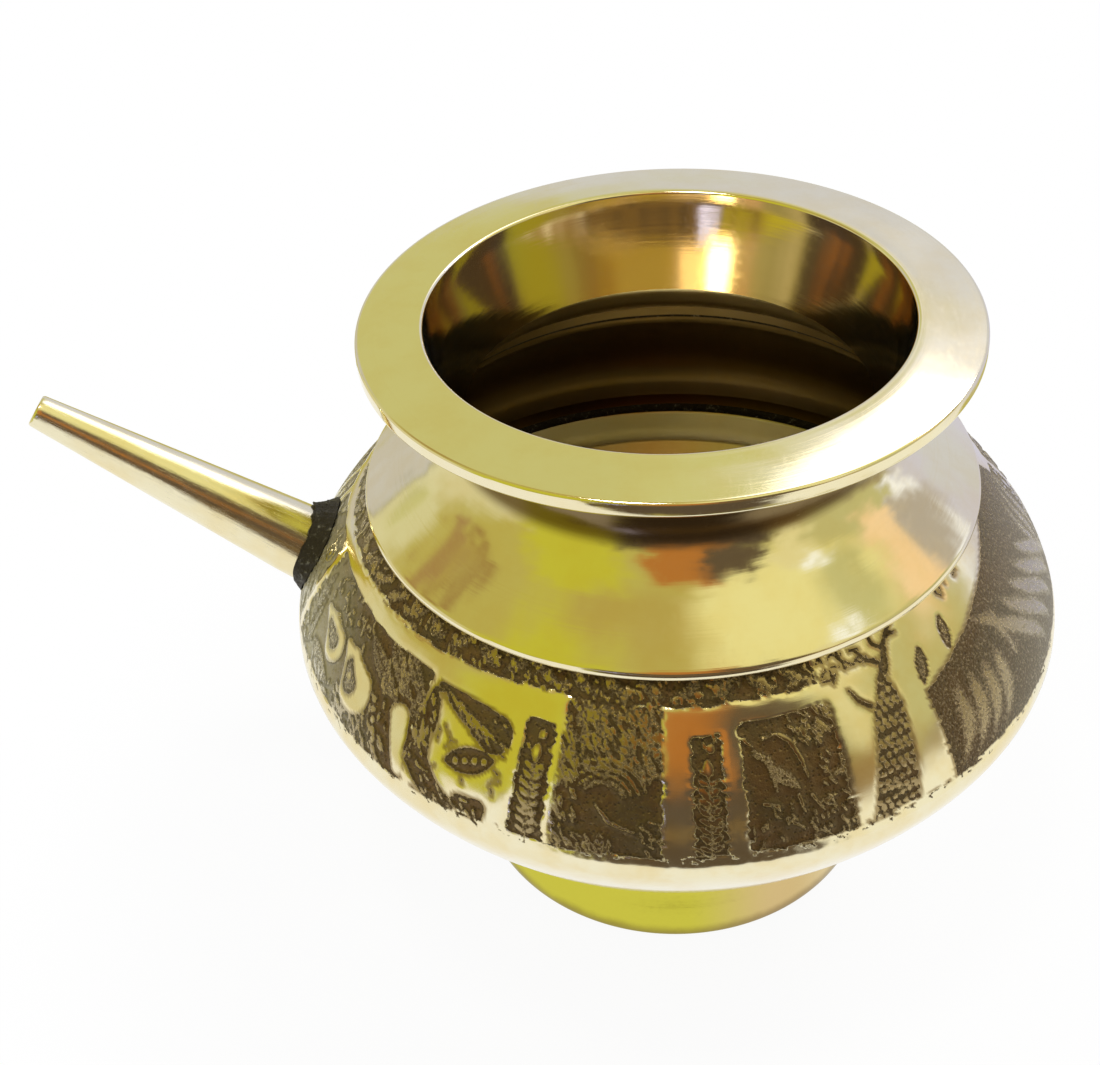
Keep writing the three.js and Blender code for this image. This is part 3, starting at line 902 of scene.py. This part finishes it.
def scroll_panel(art):
    """Stem with side leaves, and curved feathers that rise from the lower corner."""
    stem = np.array([(-3.6, 0.4), (-4.8, 3.6), (-3.8, 7.4), (-5.0, 11.5), (-5.2, 16.4)])
    art.add(art.brush(stem[::-1], 0.16))
    for k in range(10):
        side = -1 if k % 2 else 1
        cy = 1.6 + 1.45 * k
        cx = np.interp(cy, stem[:, 1], stem[:, 0])
        art.add(art.leaf((cx, cy + 0.4), (cx + 1.7 * side, cy - 0.9), 0.4))
    art.add(art.veined_leaf((-1.4, 4.0), (2.0, 9.6), 1.0))
    for k in range(4):
        art.add(dull(art.brush(arc(-1.0, 18.0, 5.4 + 2.1 * k, -80, -24), 0.6)))
    art.add(art.ring(5.0, 4.2, 1.5), art.disc(5.0, 4.2, 0.55))
    art.scatter((70, (-8.0, 0.4), (8.0, 16.6), 50, 40, 0.9, 0.13))


def fan_panel(art):
    """Rays that open downwards, with small leaves between them and a row of rings on the right."""
    for k in range(5):
        rays = ((-6.6, 1.0, 0.6), (-6.0, 1.8, 5.4), (-6.6, 2.6, 10.8), (-7.4, 3.2, 16.4))
        route = [(left + step * k, height) for left, step, height in rays]
        art.add(art.brush(route, [0.14, 0.26, 0.30, 0.16]))
        for j in range(4):
            cx, cy = -5.2 + 2.1 * k + 0.5 * j, 3.0 + 3.3 * j
            art.add(dull(art.leaf((cx - 0.7, cy - 1.0), (cx + 0.6, cy + 1.2), 0.5)))
    for k in range(4):
        art.add(art.ring(6.2, 2.2 + 4.0 * k, 1.2))
    art.scatter((60, (-8.0, 0.4), (8.0, 16.6), 70, 30, 0.8, 0.13))


def pillar(art):
    """Narrow panel with a dot at its head and leaves up a stem."""
    art.add(art.disc(0.5, 2.0, 0.6), art.leaf((0, 5.8), (0, 3.3), 0.7))
    art.add(dull(art.brush([(0, 5.5), (0, 16.4)], 0.2)))
    for k in range(8):
        cy = 7.0 + 1.3 * k
        for side in (-1, 1):
            art.add(art.leaf((0.1 * side, cy), (1.5 * side, cy - 1.0), 0.32))
    art.scatter((16, (-2.2, 0.4), (2.2, 16.6), 60, 30, 0.7, 0.15))


def border_unit(art):
    """One unit of the band under the shoulder: a dull leaf among close cuts."""
    middle = 0.5 * BORDER_DEEP
    side = art.rng.choice((-1, 1))
    art.add(dull(art.leaf((-1.9, middle + 1.2 * side), (1.9, middle - 1.2 * side), 0.7)))
    art.add(art.disc(art.rng.uniform(-1.5, 1.5), middle + art.rng.uniform(-0.8, 0.8), 0.42))
    art.scatter((13, (-2.5, 0.2), (2.5, 2 * middle - 0.2), 50, 45, 0.8, 0.14))


# The designs round the belly: azimuth of the middle in degrees, half width and top edge in
# millimetres, drawing. The back repeats in even steps.
PANEL_TOP = 8.6
PANEL_DEEP = 16.9
PANEL_LOW = PANEL_TOP + PANEL_DEEP
PANEL_CORNER = 0.5
AROUND = 2.0
MEAN_RADIUS = 57.0
FRONT_PANELS = (
    (-57.0, 17.3, 0.0, paisley_panel), (-31.6, 8.3, 0.0, wing_panel), (-19.4, 2.4, 0.0, pillar),
    (-8.6, 7.4, -3.7, dense_panel), (5.2, 2.2, 0.0, pillar), (17.2, 7.2, -1.1, crescent_panel),
    (33.0, 9.0, -8.4, scale_column), (68.0, 27.0, -7.0, ridge_panel),
)
BACK_START = 97.0
BACK_STEP = 23.75
BACK_PANELS = (
    crescent_panel, scroll_panel, fan_panel, dense_panel,
    scroll_panel, crescent_panel, fan_panel, scroll_panel,
)
PANELS = (
    *FRONT_PANELS,
    *((BACK_START + BACK_STEP * (k + 0.5), 8.0, 0.0, design) for k, design in enumerate(BACK_PANELS)),
    *((BACK_START + BACK_STEP * k, 2.2, 0.0, pillar) for k in range(len(BACK_PANELS) + 1)),
)

# The band under the shoulder dips on the left and is left out on the right. Squiggles are there
# instead, placed by azimuth in degrees and by length down the belly.
BORDER_UNITS = 62
BORDER_RADIUS = 49.0
BORDER_TOP = 0.7
BORDER_LOW = 5.0
BORDER_DEEP = BORDER_LOW - BORDER_TOP
BORDER_DIP = 1.3
BORDER_GAP = (24.0, 96.0)
SQUIGGLES = (
    (16, (25.0, 1.2), (33.0, 5.2), 20, 50, 2.0, 0.2),
    (7, (53.0, 0.8), (61.0, 3.0), 60, 50, 1.4, 0.16),
)

# Dark flecks in a row under the panels, cell by cell
FRINGE_CELLS = 36
FRINGE_WIDTH = TAU / FRINGE_CELLS * MEAN_RADIUS
FRINGE = (9, (0.4, -0.3), (FRINGE_WIDTH - 0.4, 0.8), 20, 30, 0.8, 0.16)


def ragged(azimuth, rng, size):
    """Wandering offset round the belly, which meets itself."""
    waves = [(n, rng.normal() / math.sqrt(n), rng.uniform(0, TAU)) for n in range(5, 90)]
    total = sum(amount * np.sin(n * azimuth + phase) for n, amount, phase in waves)
    return size * total / math.sqrt(sum(amount * amount / 2 for _, amount, _ in waves))


def wrapped(azimuth, centre):
    """Angle from the centre, given in degrees, between minus and plus half a turn."""
    return (azimuth - math.radians(centre) + math.pi) % TAU - math.pi


def smooth_step(value, low, high):
    share = np.clip((value - low) / (high - low), 0, 1)
    return share * share * (3 - 2 * share)


def panel_edge(x, y, half_width, top):
    """Distance to a panel's outline, with its corners rounded."""
    dx = np.abs(x) - half_width + PANEL_CORNER
    dy = np.abs(y - (top + PANEL_DEEP) / 2) - (PANEL_DEEP - top) / 2 + PANEL_CORNER
    return np.hypot(np.maximum(dx, 0), np.maximum(dy, 0)) + np.minimum(np.maximum(dx, dy), 0) - PANEL_CORNER


def chased_relief(azimuth, down):
    """Distance field of the chasing at places given by azimuth and by length down the belly.

    Also says which places lie within a panel or the border.
    """
    rng = np.random.default_rng(SEED)
    wander = ragged(azimuth + 0.3 * np.sin(0.9 * down), rng, 0.2)
    metal = np.full_like(azimuth, -2.0)
    framed = np.zeros_like(azimuth)

    def inlay(here, x, y, design, outside):
        art = Chasing(x, y, rng)
        design(art)
        outside = outside + wander[here]
        metal[here] = np.maximum(metal[here], np.minimum(art.metal, -outside))
        framed[here] = np.maximum(framed[here], outside < 0)

    def darken(here, x, y, *patches):
        art = Chasing(x, y, rng)
        art.scatter(*patches)
        metal[here] = np.maximum(metal[here], -art.metal)

    for centre, half, top, design in PANELS:
        x = wrapped(azimuth, centre) * MEAN_RADIUS
        y = down - PANEL_TOP
        here = (np.abs(x) < half + AROUND) & (y > top - AROUND) & (y < PANEL_DEEP + AROUND)
        x, y = x[here], y[here] + 0.3 * wander[here]
        inlay(here, x, y, design, panel_edge(x, y, half, top))
    dip = BORDER_DIP * smooth_step(-wrapped(azimuth, 0), math.radians(25), math.radians(70))
    turn = azimuth % TAU / (TAU / BORDER_UNITS)
    unit_index = np.floor(turn).astype(int) % BORDER_UNITS
    gap = (azimuth > math.radians(BORDER_GAP[0])) & (azimuth < math.radians(BORDER_GAP[1]))
    for k in range(BORDER_UNITS):
        here = (unit_index == k) & (down < BORDER_LOW + 3) & ~gap
        x = (turn[here] - np.floor(turn[here]) - 0.5) * (TAU / BORDER_UNITS * BORDER_RADIUS)
        y = down[here] - BORDER_TOP - dip[here]
        inlay(here, x, y, border_unit, np.maximum(-y, y - BORDER_DEEP))
    turn = azimuth % TAU / (TAU / FRINGE_CELLS)
    for k in range(FRINGE_CELLS):
        here = (np.floor(turn).astype(int) == k) & (down > PANEL_LOW - 1.5) & (down < PANEL_LOW + 2)
        darken(here, (turn[here] - k) * FRINGE_WIDTH, down[here] - PANEL_LOW, FRINGE)
    here = gap & (down < BORDER_LOW + 1)
    darken(here, np.degrees(azimuth[here]), down[here], *SQUIGGLES)
    return metal, framed


# How finely and how deeply the chasing is cut into the belly's mesh
CHASING_STEP = 0.37
GROUND_DEPTH = 0.24
MATTING_DEPTH = 0.035
WORN_DEPTH = 0.06


def chased_rows(lengths):
    """Points of the belly's outside at lengths down it, with the ground sunk and matted."""
    outer = at_lengths(shell_outline, lengths)
    azimuth = np.broadcast_to(turns(BELLY_COLUMNS), (len(outer), BELLY_COLUMNS))
    down = np.broadcast_to(lengths[:, None], azimuth.shape)
    relief = chased_relief(azimuth.ravel(), down.ravel())[0].reshape(azimuth.shape)
    matting = np.random.default_rng(SEED + 1).normal(size=relief.shape)
    matting = (matting + np.roll(matting, 1, 0) + np.roll(matting, 1, 1) + np.roll(matting, -1, 1)) / 2
    sink = smooth_step(relief, 0.0, 0.5) * (GROUND_DEPTH + MATTING_DEPTH * matting)
    sink = sink + WORN_DEPTH * smooth_step(relief, -0.9, 0.1)
    along = directions(outer)
    radius = outer[:, :1] + sink * along[:, 1:]
    height = outer[:, 1:] - sink * along[:, :1]
    return np.stack([radius * np.sin(azimuth), -radius * np.cos(azimuth), height], axis=-1)


def stitches(fine_start, coarse_start):
    """Faces between a ring of the belly's outside and a ring with fewer points of its inside."""
    ratio = BELLY_COLUMNS // INNER_COLUMNS
    faces = []
    for j in range(INNER_COLUMNS):
        fine = [fine_start + (ratio * j + i) % BELLY_COLUMNS for i in range(ratio + 1)]
        faces.append(fine + [coarse_start + (j + 1) % INNER_COLUMNS, coarse_start + j])
    return faces


def engraved_belly(material):
    """Belly shell: finely cut outside, so that the chasing is in the metal, with a plain inner wall."""
    total = arc_lengths(shell_outline)[-1]
    zone = np.arange(0, PANEL_LOW + 1.6, CHASING_STEP)
    plain_zone = np.linspace(zone[-1], total - 0.35, 10)[1:]
    lip = run(pt(lip_outer_radius, lip_top), pt(lip_outer_radius, shoulder_height + 0.05))
    low_edge = run(at_lengths(shell_outline, [total - 0.1]), seam_edge)
    outer_rows = np.concatenate([
        spun(lip, BELLY_COLUMNS),
        chased_rows(np.concatenate([zone, plain_zone])),
        spun(low_edge, BELLY_COLUMNS),
    ])
    wall = offset(shell_outline, shell_wall)
    wall = wall[(wall[:, 0] > lip_inner_radius + 0.3) & (wall[:, 1] > lap_top + seam_bead + 0.4)]
    wall = at_lengths(wall, np.linspace(0, arc_lengths(wall)[-1], 15))
    inner = run(
        lip_corner,
        lip_corner - (0, seam_bead),
        wall,
        lap_bead,
        lap_corner,
        pt(lap_outer_radius, seam_height),
    )
    outside_count = len(outer_rows) * BELLY_COLUMNS
    faces = grid_faces(len(outer_rows), BELLY_COLUMNS, False)
    faces += (np.array(grid_faces(len(inner), INNER_COLUMNS, False)) + outside_count).tolist()
    faces += stitches(0, outside_count)
    faces += stitches(outside_count - BELLY_COLUMNS, outside_count + (len(inner) - 1) * INNER_COLUMNS)
    points = np.concatenate([outer_rows.reshape(-1, 3), spun(inner, INNER_COLUMNS).reshape(-1, 3)])
    piece = make_piece("engraved_belly", points, faces, material, ["belly_shell"])
    cut_hole(piece)
    radius, height, azimuth = cylindrical(piece)
    inside = radius < outline_radius(height) - 0.5 * shell_wall
    plain = inside | (height > shoulder_height)
    down = np.interp(-height, -shell_outline[:, 1], arc_lengths(shell_outline))
    relief, framed = chased_relief(azimuth, down)
    set_attribute(piece, "inside", inside & (height < lip_top - 0.2))
    set_attribute(piece, "relief", np.where(plain, -1.0, relief))
    set_attribute(piece, "worked", np.where(plain, 0.0, framed * smooth_step(relief, -0.55, -0.25)))


# Spout


spout_along = np.array([-math.cos(spout_angle), 0, math.sin(spout_angle)])
spout_up = np.array([math.sin(spout_angle), 0, math.cos(spout_angle)])
spout_side = np.array([0.0, 1.0, 0.0])
spout_start = np.array([0, 0, spout_axis_height])


def spout_points(radius, angle, along):
    """Points round the spout's axis, by radius, angle from its top, and length along it."""
    upwards = np.multiply.outer(radius * np.cos(angle), spout_up)
    sideways = np.multiply.outer(radius * np.sin(angle), spout_side)
    return spout_start + (upwards + sideways) + np.multiply.outer(along, spout_along)


def meets_body(radius, angle, distance):
    """Length along the spout at which lines beside its axis leave the body's outline.

    The outline is taken as moved out by the distance.
    """
    low = np.full_like(angle, 0.7 * belly_radius)
    high = np.full_like(angle, 1.7 * belly_radius)
    for _ in range(40):
        middle = (low + high) / 2
        here = spout_points(radius, angle, middle)
        inside = np.hypot(here[:, 0], here[:, 1]) < outline_radius(here[:, 2]) + distance
        low = np.where(inside, middle, low)
        high = np.where(inside, high, middle)
    return low


spout_exit = float(meets_body(0.0, np.zeros(1), 0.0)[0])
tip_reach = axis_x - spout_low[0] - spout_tip_radius * math.sin(spout_angle)
spout_length = tip_reach / math.cos(spout_angle)


def tapered(along, at_root, at_tip):
    """A size that changes evenly from the spout's root to its tip."""
    share = (along - spout_exit) / (spout_length - spout_exit)
    return at_root + share * (at_tip - at_root)


def spout_radius(along):
    return tapered(along, spout_root_radius, spout_tip_radius)


def cut_hole(piece):
    """Opens the belly shell for the spout."""
    angle = turns(SPOUT_SIDES)
    ends = [spout_exit - hole_reach, spout_exit + hole_reach]
    rings = [spout_points(spout_radius(along) + solder_gap, angle, along) for along in ends]
    poles = [[spout_start + along * spout_along] for along in ends]
    faces = grid_faces(2, SPOUT_SIDES, False)
    faces += pole_faces(list(range(SPOUT_SIDES)), 2 * SPOUT_SIDES)
    faces += pole_faces(list(range(SPOUT_SIDES, 2 * SPOUT_SIDES)), 2 * SPOUT_SIDES + 1)
    cutter = new_object("spout_cutter", closed_mesh("spout_cutter", np.concatenate(rings + poles), faces))
    cutter.location = piece.location
    modifier = piece.modifiers.new("spout_hole", "BOOLEAN")
    modifier.operation = "DIFFERENCE"
    modifier.solver = "MANIFOLD"
    modifier.object = cutter
    bpy.context.view_layer.update()
    depsgraph = bpy.context.evaluated_depsgraph_get()
    opened = bpy.data.meshes.new_from_object(piece.evaluated_get(depsgraph))
    piece.modifiers.clear()
    whole = piece.data
    piece.data = opened
    opened.name = whole.name
    bpy.data.objects.remove(cutter)
    bpy.data.meshes.remove(whole)


def pouring_spout(material):
    """Tapered tube, rounded at its tip and trimmed to the belly's inner curve at its root."""
    angle = turns(SPOUT_SIDES)
    body = np.linspace(spout_exit + 4, spout_length - tip_rounding, 60)
    tip_bore = spout_tip_radius - spout_tip_wall

    def at_root(radius):
        return radius, meets_body(radius, angle, -shell_wall - spout_inside)

    rings = [at_root(spout_root_radius)]
    rings += [(spout_radius(along), along) for along in body]
    for share in (0.35, 0.7, 1.0):
        along = spout_length - tip_rounding * (1 - share)
        rings.append((spout_tip_radius - tip_inset * share * share, along))
    rings.append((tip_bore + bore_break[0], spout_length))
    rings.append((tip_bore, spout_length - bore_break[1]))
    for along in body[::-3]:
        rings.append((spout_radius(along) - tapered(along, spout_root_wall, spout_tip_wall), along))
    rings.append(at_root(spout_root_radius - spout_root_wall))
    points = np.concatenate([spout_points(radius, angle, along) for radius, along in rings])
    faces = grid_faces(len(rings), SPOUT_SIDES, True)
    make_piece("pouring_spout", points, faces, material, ["spout_tube"])


def solder_collar(material):
    """Lumpy solder drawn up round the spout's root, higher and wider on its upper side."""
    angle = turns(COLLAR_SIDES)
    rng = np.random.default_rng(SEED + 2)
    waves = [(n, rng.normal() / n, rng.uniform(0, TAU)) for n in range(1, 15)]
    lumps = sum(a * np.sin(n * angle + p) for n, a, p in waves)
    touch = spout_root_radius + solder_gap
    upper = 0.5 + 0.5 * np.cos(angle)
    spread = collar_least + collar_spread * upper + collar_lumps[0] * lumps
    climb = collar_least + collar_climb * upper + collar_lumps[1] * np.roll(lumps, COLLAR_SIDES // 4)
    seat = meets_body(touch, angle, 0.0)
    rings = [spout_points(touch, angle, seat + 0.02)]
    for share in np.linspace(0, 1, 16):
        bulge = math.sin(math.pi * share)
        radius = touch + spread * (1 - share) ** 1.7
        grain = 0.10 * rng.normal(size=COLLAR_SIDES) * bulge
        along = meets_body(radius, angle, 0.0) + 0.05 + climb * share**1.3 + 0.35 * bulge + grain
        radius = np.maximum(radius, spout_radius(along) + 0.02 + 0.12 * (1 - share))
        rings.append(spout_points(radius, angle, along))
    top = seat + climb * 0.9
    rings.append(spout_points(spout_radius(top) + 0.01, angle, top))
    faces = grid_faces(len(rings), COLLAR_SIDES, True)
    make_piece("solder_collar", np.concatenate(rings), faces, material, ["spout_solder"])


# Bowl, foot and seams


def bowl_with_floor(material):
    outline = at_lengths(bowl_outline, np.linspace(0, arc_lengths(bowl_outline)[-1], 70))
    bottom = bezier(
        foot_bead,
        pt(0.7 * foot_top_radius, foot_height - 0.7 * bowl_sag),
        pt(0.3 * foot_top_radius, foot_height - bowl_sag),
        pt(0, foot_height - bowl_sag),
        24,
    )
    inner = offset(outline, shell_wall)
    inner = inner[inner[:, 0] < lap_inner_radius - 0.3]
    low_corner = pt(lap_outer_radius - 0.02, seam_height)
    profile = run(
        bottom[::-1],
        foot_inner_top,
        outline[::-1],
        seam_edge,
        low_corner,
        fillet(low_corner, pt(low_corner[0], lap_top), pt(lap_inner_radius, lap_top), 0.25, 3),
        fillet(lap_corner, pt(lap_inner_radius, lap_top), pt(lap_inner_radius, seam_height), 0.4, 4),
        pt(lap_inner_radius, seam_height + 0.4),
        inner,
        bottom + (0, shell_wall),
    )
    piece = turned("bowl_with_floor", profile, BOWL_COLUMNS, material, ["lower_bowl"])
    radius, height, _ = cylindrical(piece)
    above_floor = height > foot_height - bowl_sag + 0.5 * shell_wall
    set_attribute(piece, "inside", above_floor & (radius < outline_radius(height) - 0.5 * shell_wall))


def turned_foot(material):
    side = bezier(
        pt(foot_top_radius, foot_height),
        pt(foot_top_radius, 0.66 * foot_height),
        pt(foot_radius - 0.8, 0.36 * foot_height),
        pt(foot_radius, 1.2),
        30,
    )
    land_edge = pt(foot_radius - foot_land, 0)
    profile = run(
        side,
        fillet(side[-2], pt(foot_radius, 0), land_edge, 0.45, 5),
        land_edge,
        land_edge + (-0.4, 1.2),
        pt(foot_inner_top[0], 0.5 * foot_height),
        foot_inner_top - (0, seam_bead),
        foot_inner_top,
    )
    piece = turned("turned_foot", profile, BOWL_COLUMNS, material, ["foot_ring"])
    set_attribute(piece, "inside", np.zeros(len(piece.data.vertices)))


def seam(name, corner, first, second, material, node):
    """Solder in the inside corner of a turned joint, with a hollow face and small lumps."""
    middle = 0.5 * (first + second) * 0.6 + 0.4 * corner
    profile = run(corner, first, bezier(first, middle, middle, second, 6)[1:], corner)[:-1]
    points = spun(profile, BEAD_COLUMNS)
    points[2:-1, :, 2] += ragged(turns(BEAD_COLUMNS), np.random.default_rng(SEED + len(name)), 0.04)
    faces = grid_faces(len(profile), BEAD_COLUMNS, True)
    make_piece(name, points.reshape(-1, 3), faces, material, [node])


def seams(material):
    out, up = pt(seam_bead, 0), pt(0, seam_bead)
    for name, corner, first, second, node in (
        ("solder_under_shoulder", lip_corner, lip_corner - out, lip_corner - up, "shoulder_seam_solder"),
        ("solder_in_lap", lap_corner, lap_bead, lap_corner - out, "belly_seam_solder"),
        ("solder_in_foot", foot_inner_top, foot_bead, foot_inner_top - up, "foot_seam_solder"),
    ):
        seam(name, corner, first, second, material, node)


# Studio


def direction(azimuth, elevation):
    a, e = math.radians(azimuth), math.radians(elevation)
    return Vector((math.sin(a) * math.cos(e), -math.cos(a) * math.cos(e), math.sin(e)))


WHITE = (1, 1, 1, 1)
PAPER = (0.86, 0.86, 0.86, 1)
SURROUNDING_LIGHT = (0.72, 0.72, 0.72, 1)
ROOM_WALL = (0.55, 0.49, 0.14, 1)

# Lamps stand at this distance from a point in the pot, and the sheet lies just under the foot
LAMP_DISTANCE = 0.9
LAMP_AIM = 0.06
FLOOR_DROP = -0.0002

# Soft-edged patches of the room that the metal mirrors, later ones in front: azimuth, elevation, half
# width, half height and softness in degrees, then the colour
ROOM = (
    # ceiling, paler towards the right
    (0, 90, 180, 28, 6, (0.52, 0.42, 0.12)),
    (72, 60, 56, 26, 12, (0.92, 0.87, 0.45)),
    # left: pale things low down, brown streaks, a yellow-green cloth
    (-98, -6, 36, 24, 9, (0.76, 0.72, 0.48)),
    (-128, 14, 12, 16, 6, (0.80, 0.78, 0.56)),
    (-134, 15, 8, 11, 3, (0.40, 0.36, 0.20)),
    (-104, 39, 4, 14, 2, (0.42, 0.28, 0.12)),
    (-95, 42, 2, 12, 2, (0.36, 0.23, 0.08)),
    (-46, 18, 23, 41, 7, (0.60, 0.58, 0.06)),
    # a sitter in front, with the head above and the dark clothes below
    (12, -7, 38, 37, 4, (0.11, 0.08, 0.055)),
    (2, 4, 50, 3, 5, (0.24, 0.16, 0.065)),
    (9, 42, 20, 15, 4, (0.50, 0.20, 0.045)),
    (31, 40, 14, 11, 4, (0.13, 0.095, 0.06)),
    # right: pale wall, a shaded corner and a warm lamp shade
    (60, 24, 9, 24, 3, (0.86, 0.80, 0.48)),
    (55, 6, 10, 13, 4, (0.36, 0.25, 0.11)),
    (88, -4, 24, 20, 6, (0.36, 0.29, 0.18)),
    (88, 22, 23, 13, 5, (0.60, 0.57, 0.29)),
    (82, -20, 47, 22, 4, (1.00, 0.99, 0.93)),
    (86, 46, 9, 7, 5, (0.62, 0.60, 0.30)),
    (101, 30, 9, 7, 4, (1.05, 0.78, 0.52)),
    (73, 45, 5, 3, 2, (1.10, 1.15, 1.30)),
    (136, 6, 24, 34, 8, (0.70, 0.70, 0.95)),
    (118, 26, 9, 8, 5, (0.52, 0.47, 0.46)),
    (114, 16, 5, 4, 3, (1.10, 1.15, 1.40)),
    # behind: daylight on the right, a yellow wall above a bluish one on the left
    (180, 14, 50, 16, 5, (0.70, 0.72, 0.88)),
    (-174, 47, 34, 14, 5, (0.68, 0.67, 0.31)),
    (-150, 39, 28, 20, 6, (0.64, 0.63, 0.29)),
    (-113, 46, 14, 8, 4, (0.44, 0.33, 0.12)),
    (-142, 10, 9, 24, 5, (0.64, 0.62, 0.62)),
    (155, 45, 16, 17, 8, (1.00, 1.00, 1.20)),
    # a window pane that shows in the neck
    (-19, 7, 5, 3.5, 1.5, (1.3, 1.45, 3.0)),
)


def studio_world():
    """White to the camera, the room to mirroring metal, and a plain pale light to everything else."""
    world = bpy.data.worlds.new("studio")
    world.use_nodes = True
    bpy.context.scene.world = world
    graph = Graph(world.node_tree)
    toward = graph.node("ShaderNodeTexCoord").outputs["Generated"]
    x, y, z = graph.split(toward)
    waver = graph.times(graph.noise(toward, 9.0, 4.0, 0.6), 34.0, plus=-17.0)
    elsewhere = graph.scaled(toward, -1.0, 1.0, 1.0)
    sway = graph.times(graph.noise(elsewhere, 8.0, 4.0, 0.6), 26.0, plus=-13.0)
    azimuth = graph.math("ARCTAN2", x, graph.times(y, -1.0))
    azimuth = graph.times(azimuth, 360 / TAU, plus=waver)
    elevation = graph.times(graph.math("ARCSINE", z), 360 / TAU, plus=sway)
    room = ROOM_WALL
    for centre, height, half_width, half_height, soft, tint in ROOM:
        turned_by = graph.math("WRAP", graph.math("SUBTRACT", azimuth, centre), 180.0, -180.0)
        across = graph.math("ABSOLUTE", turned_by)
        up = graph.math("ABSOLUTE", graph.math("SUBTRACT", elevation, height))
        share = graph.times(
            graph.range(across, half_width - soft, half_width + soft, 1.0, 0.0),
            graph.range(up, half_height - soft, half_height + soft, 1.0, 0.0),
        )
        room = graph.mix(share, room, (*tint, 1))
    rays = graph.node("ShaderNodeLightPath").outputs
    mirrored = graph.plus(rays["Is Glossy Ray"], rays["Is Transmission Ray"], clamp=True)
    seen = graph.mix(rays["Is Camera Ray"], SURROUNDING_LIGHT, WHITE)
    color = graph.mix(mirrored, seen, room)
    background = graph.node("ShaderNodeBackground", {"Color": color, "Strength": 1.0})
    graph.node("ShaderNodeOutputWorld", {"Surface": background.outputs[0]})


def soft_lamp(name, azimuth, elevation, size, watts):
    """Rectangular lamp that faces the pot."""
    lamp = bpy.data.lights.new(name, "AREA")
    lamp.shape = "RECTANGLE"
    lamp.size, lamp.size_y = size
    lamp.energy = watts
    holder = new_object(name, lamp)
    toward = direction(azimuth, elevation)
    holder.location = Vector((axis_x * MM, 0, LAMP_AIM)) + toward * LAMP_DISTANCE
    holder.rotation_euler = toward.to_track_quat("Z", "Y").to_euler()


SHEET_RADIUS = 138.0
SHEET_LEFT = -270.0
SHEET_FRONT = -178.0
SHEET_NEAR = -82.0
CARD_LOW = 64.0
CARD_HIGH = 106.0


def studio_floor():
    """White sheet, wider on the left, where a card stands on its front edge outside the picture.

    The sheet fades into the white surroundings where the camera sees its edge.
    """
    mesh = bpy.data.meshes.new("floor")
    sides = 64
    angle = np.linspace(-math.pi / 2, math.pi / 2, sides)
    round_side = SHEET_RADIUS * np.column_stack([np.cos(angle), np.sin(angle), np.zeros(sides)])
    left, front, near = SHEET_LEFT, SHEET_FRONT, SHEET_NEAR
    corners = [(left, SHEET_RADIUS, 0), (left, front, 0), (near, front, 0)]
    card = [(near, front, 0), (left, front, 0), (left, front, CARD_LOW), (2 * near, front, CARD_LOW),
            (near, front, CARD_HIGH)]
    points = [*round_side.tolist(), *corners, *card]
    sheet_count = sides + len(corners)
    faces = [tuple(range(sheet_count)), tuple(range(sheet_count, len(points)))]
    mesh.from_pydata((np.array(points) * MM).tolist(), [], faces)
    floor = new_object("floor", mesh)
    floor.location = (axis_x * MM, 0, FLOOR_DROP)
    material, graph = new_material("floor_white")
    reach, _ = graph.turning(graph.place())
    reach = graph.split(reach)[0]
    rays = graph.node("ShaderNodeLightPath").outputs
    seen = graph.plus(rays["Is Camera Ray"], rays["Is Glossy Ray"], clamp=True)
    seen = graph.plus(seen, rays["Is Transmission Ray"], clamp=True)
    paper = graph.node("ShaderNodeBsdfDiffuse", {"Color": PAPER})
    bright = graph.node("ShaderNodeEmission", {"Color": WHITE, "Strength": 1.0})
    share = graph.times(seen, graph.range(reach, 80.0, SHEET_RADIUS - 6.0, 0.93, 1.0))
    both = graph.node("ShaderNodeMixShader", {0: share, 1: paper.outputs[0], 2: bright.outputs[0]})
    graph.node("ShaderNodeOutputMaterial", {"Surface": both.outputs[0]})
    mesh.materials.append(material)


def photo_camera():
    """The photograph's viewpoint: a 1100 by 1065 frame at a focal length of 1500 of its pixels."""
    camera = bpy.data.cameras.new("camera")
    camera.sensor_width = 36
    camera.lens = 1500 / 1100 * camera.sensor_width
    camera.clip_start = 0.01
    holder = new_object("camera", camera)
    holder.location = (axis_x * MM, -186.9 * MM, 214.0 * MM)
    holder.rotation_euler = [math.radians(a) for a in (50.428, 3.278, 3.164)]
    bpy.context.scene.camera = holder


photo_camera()
solder_metal = rough_solder("solder")
rim_neck_shoulder(turned_brass("polished_brass", 1.0, 0.07, 0.08, tarnish_shade_and_reflection=True))
engraved_belly(chased_brass("engraved_brass"))
bowl_with_floor(turned_brass("bowl_brass", 0.8, 0.08, 0.13))
turned_foot(turned_brass("foot_brass", 0.8, 0.08, 0.12, foot_reflection=True))
pouring_spout(spout_brass("spout_brass"))
solder_collar(solder_metal)
seams(solder_metal)
studio_world()
studio_floor()
soft_lamp("key", 127, 40, (0.22, 0.24), 2.2)
soft_lamp("back", 146, 50, (0.46, 0.40), 0.75)
soft_lamp("top", -45, 79, (0.16, 0.16), 1.3)
bpy.context.scene.view_settings.view_transform = "Standard"
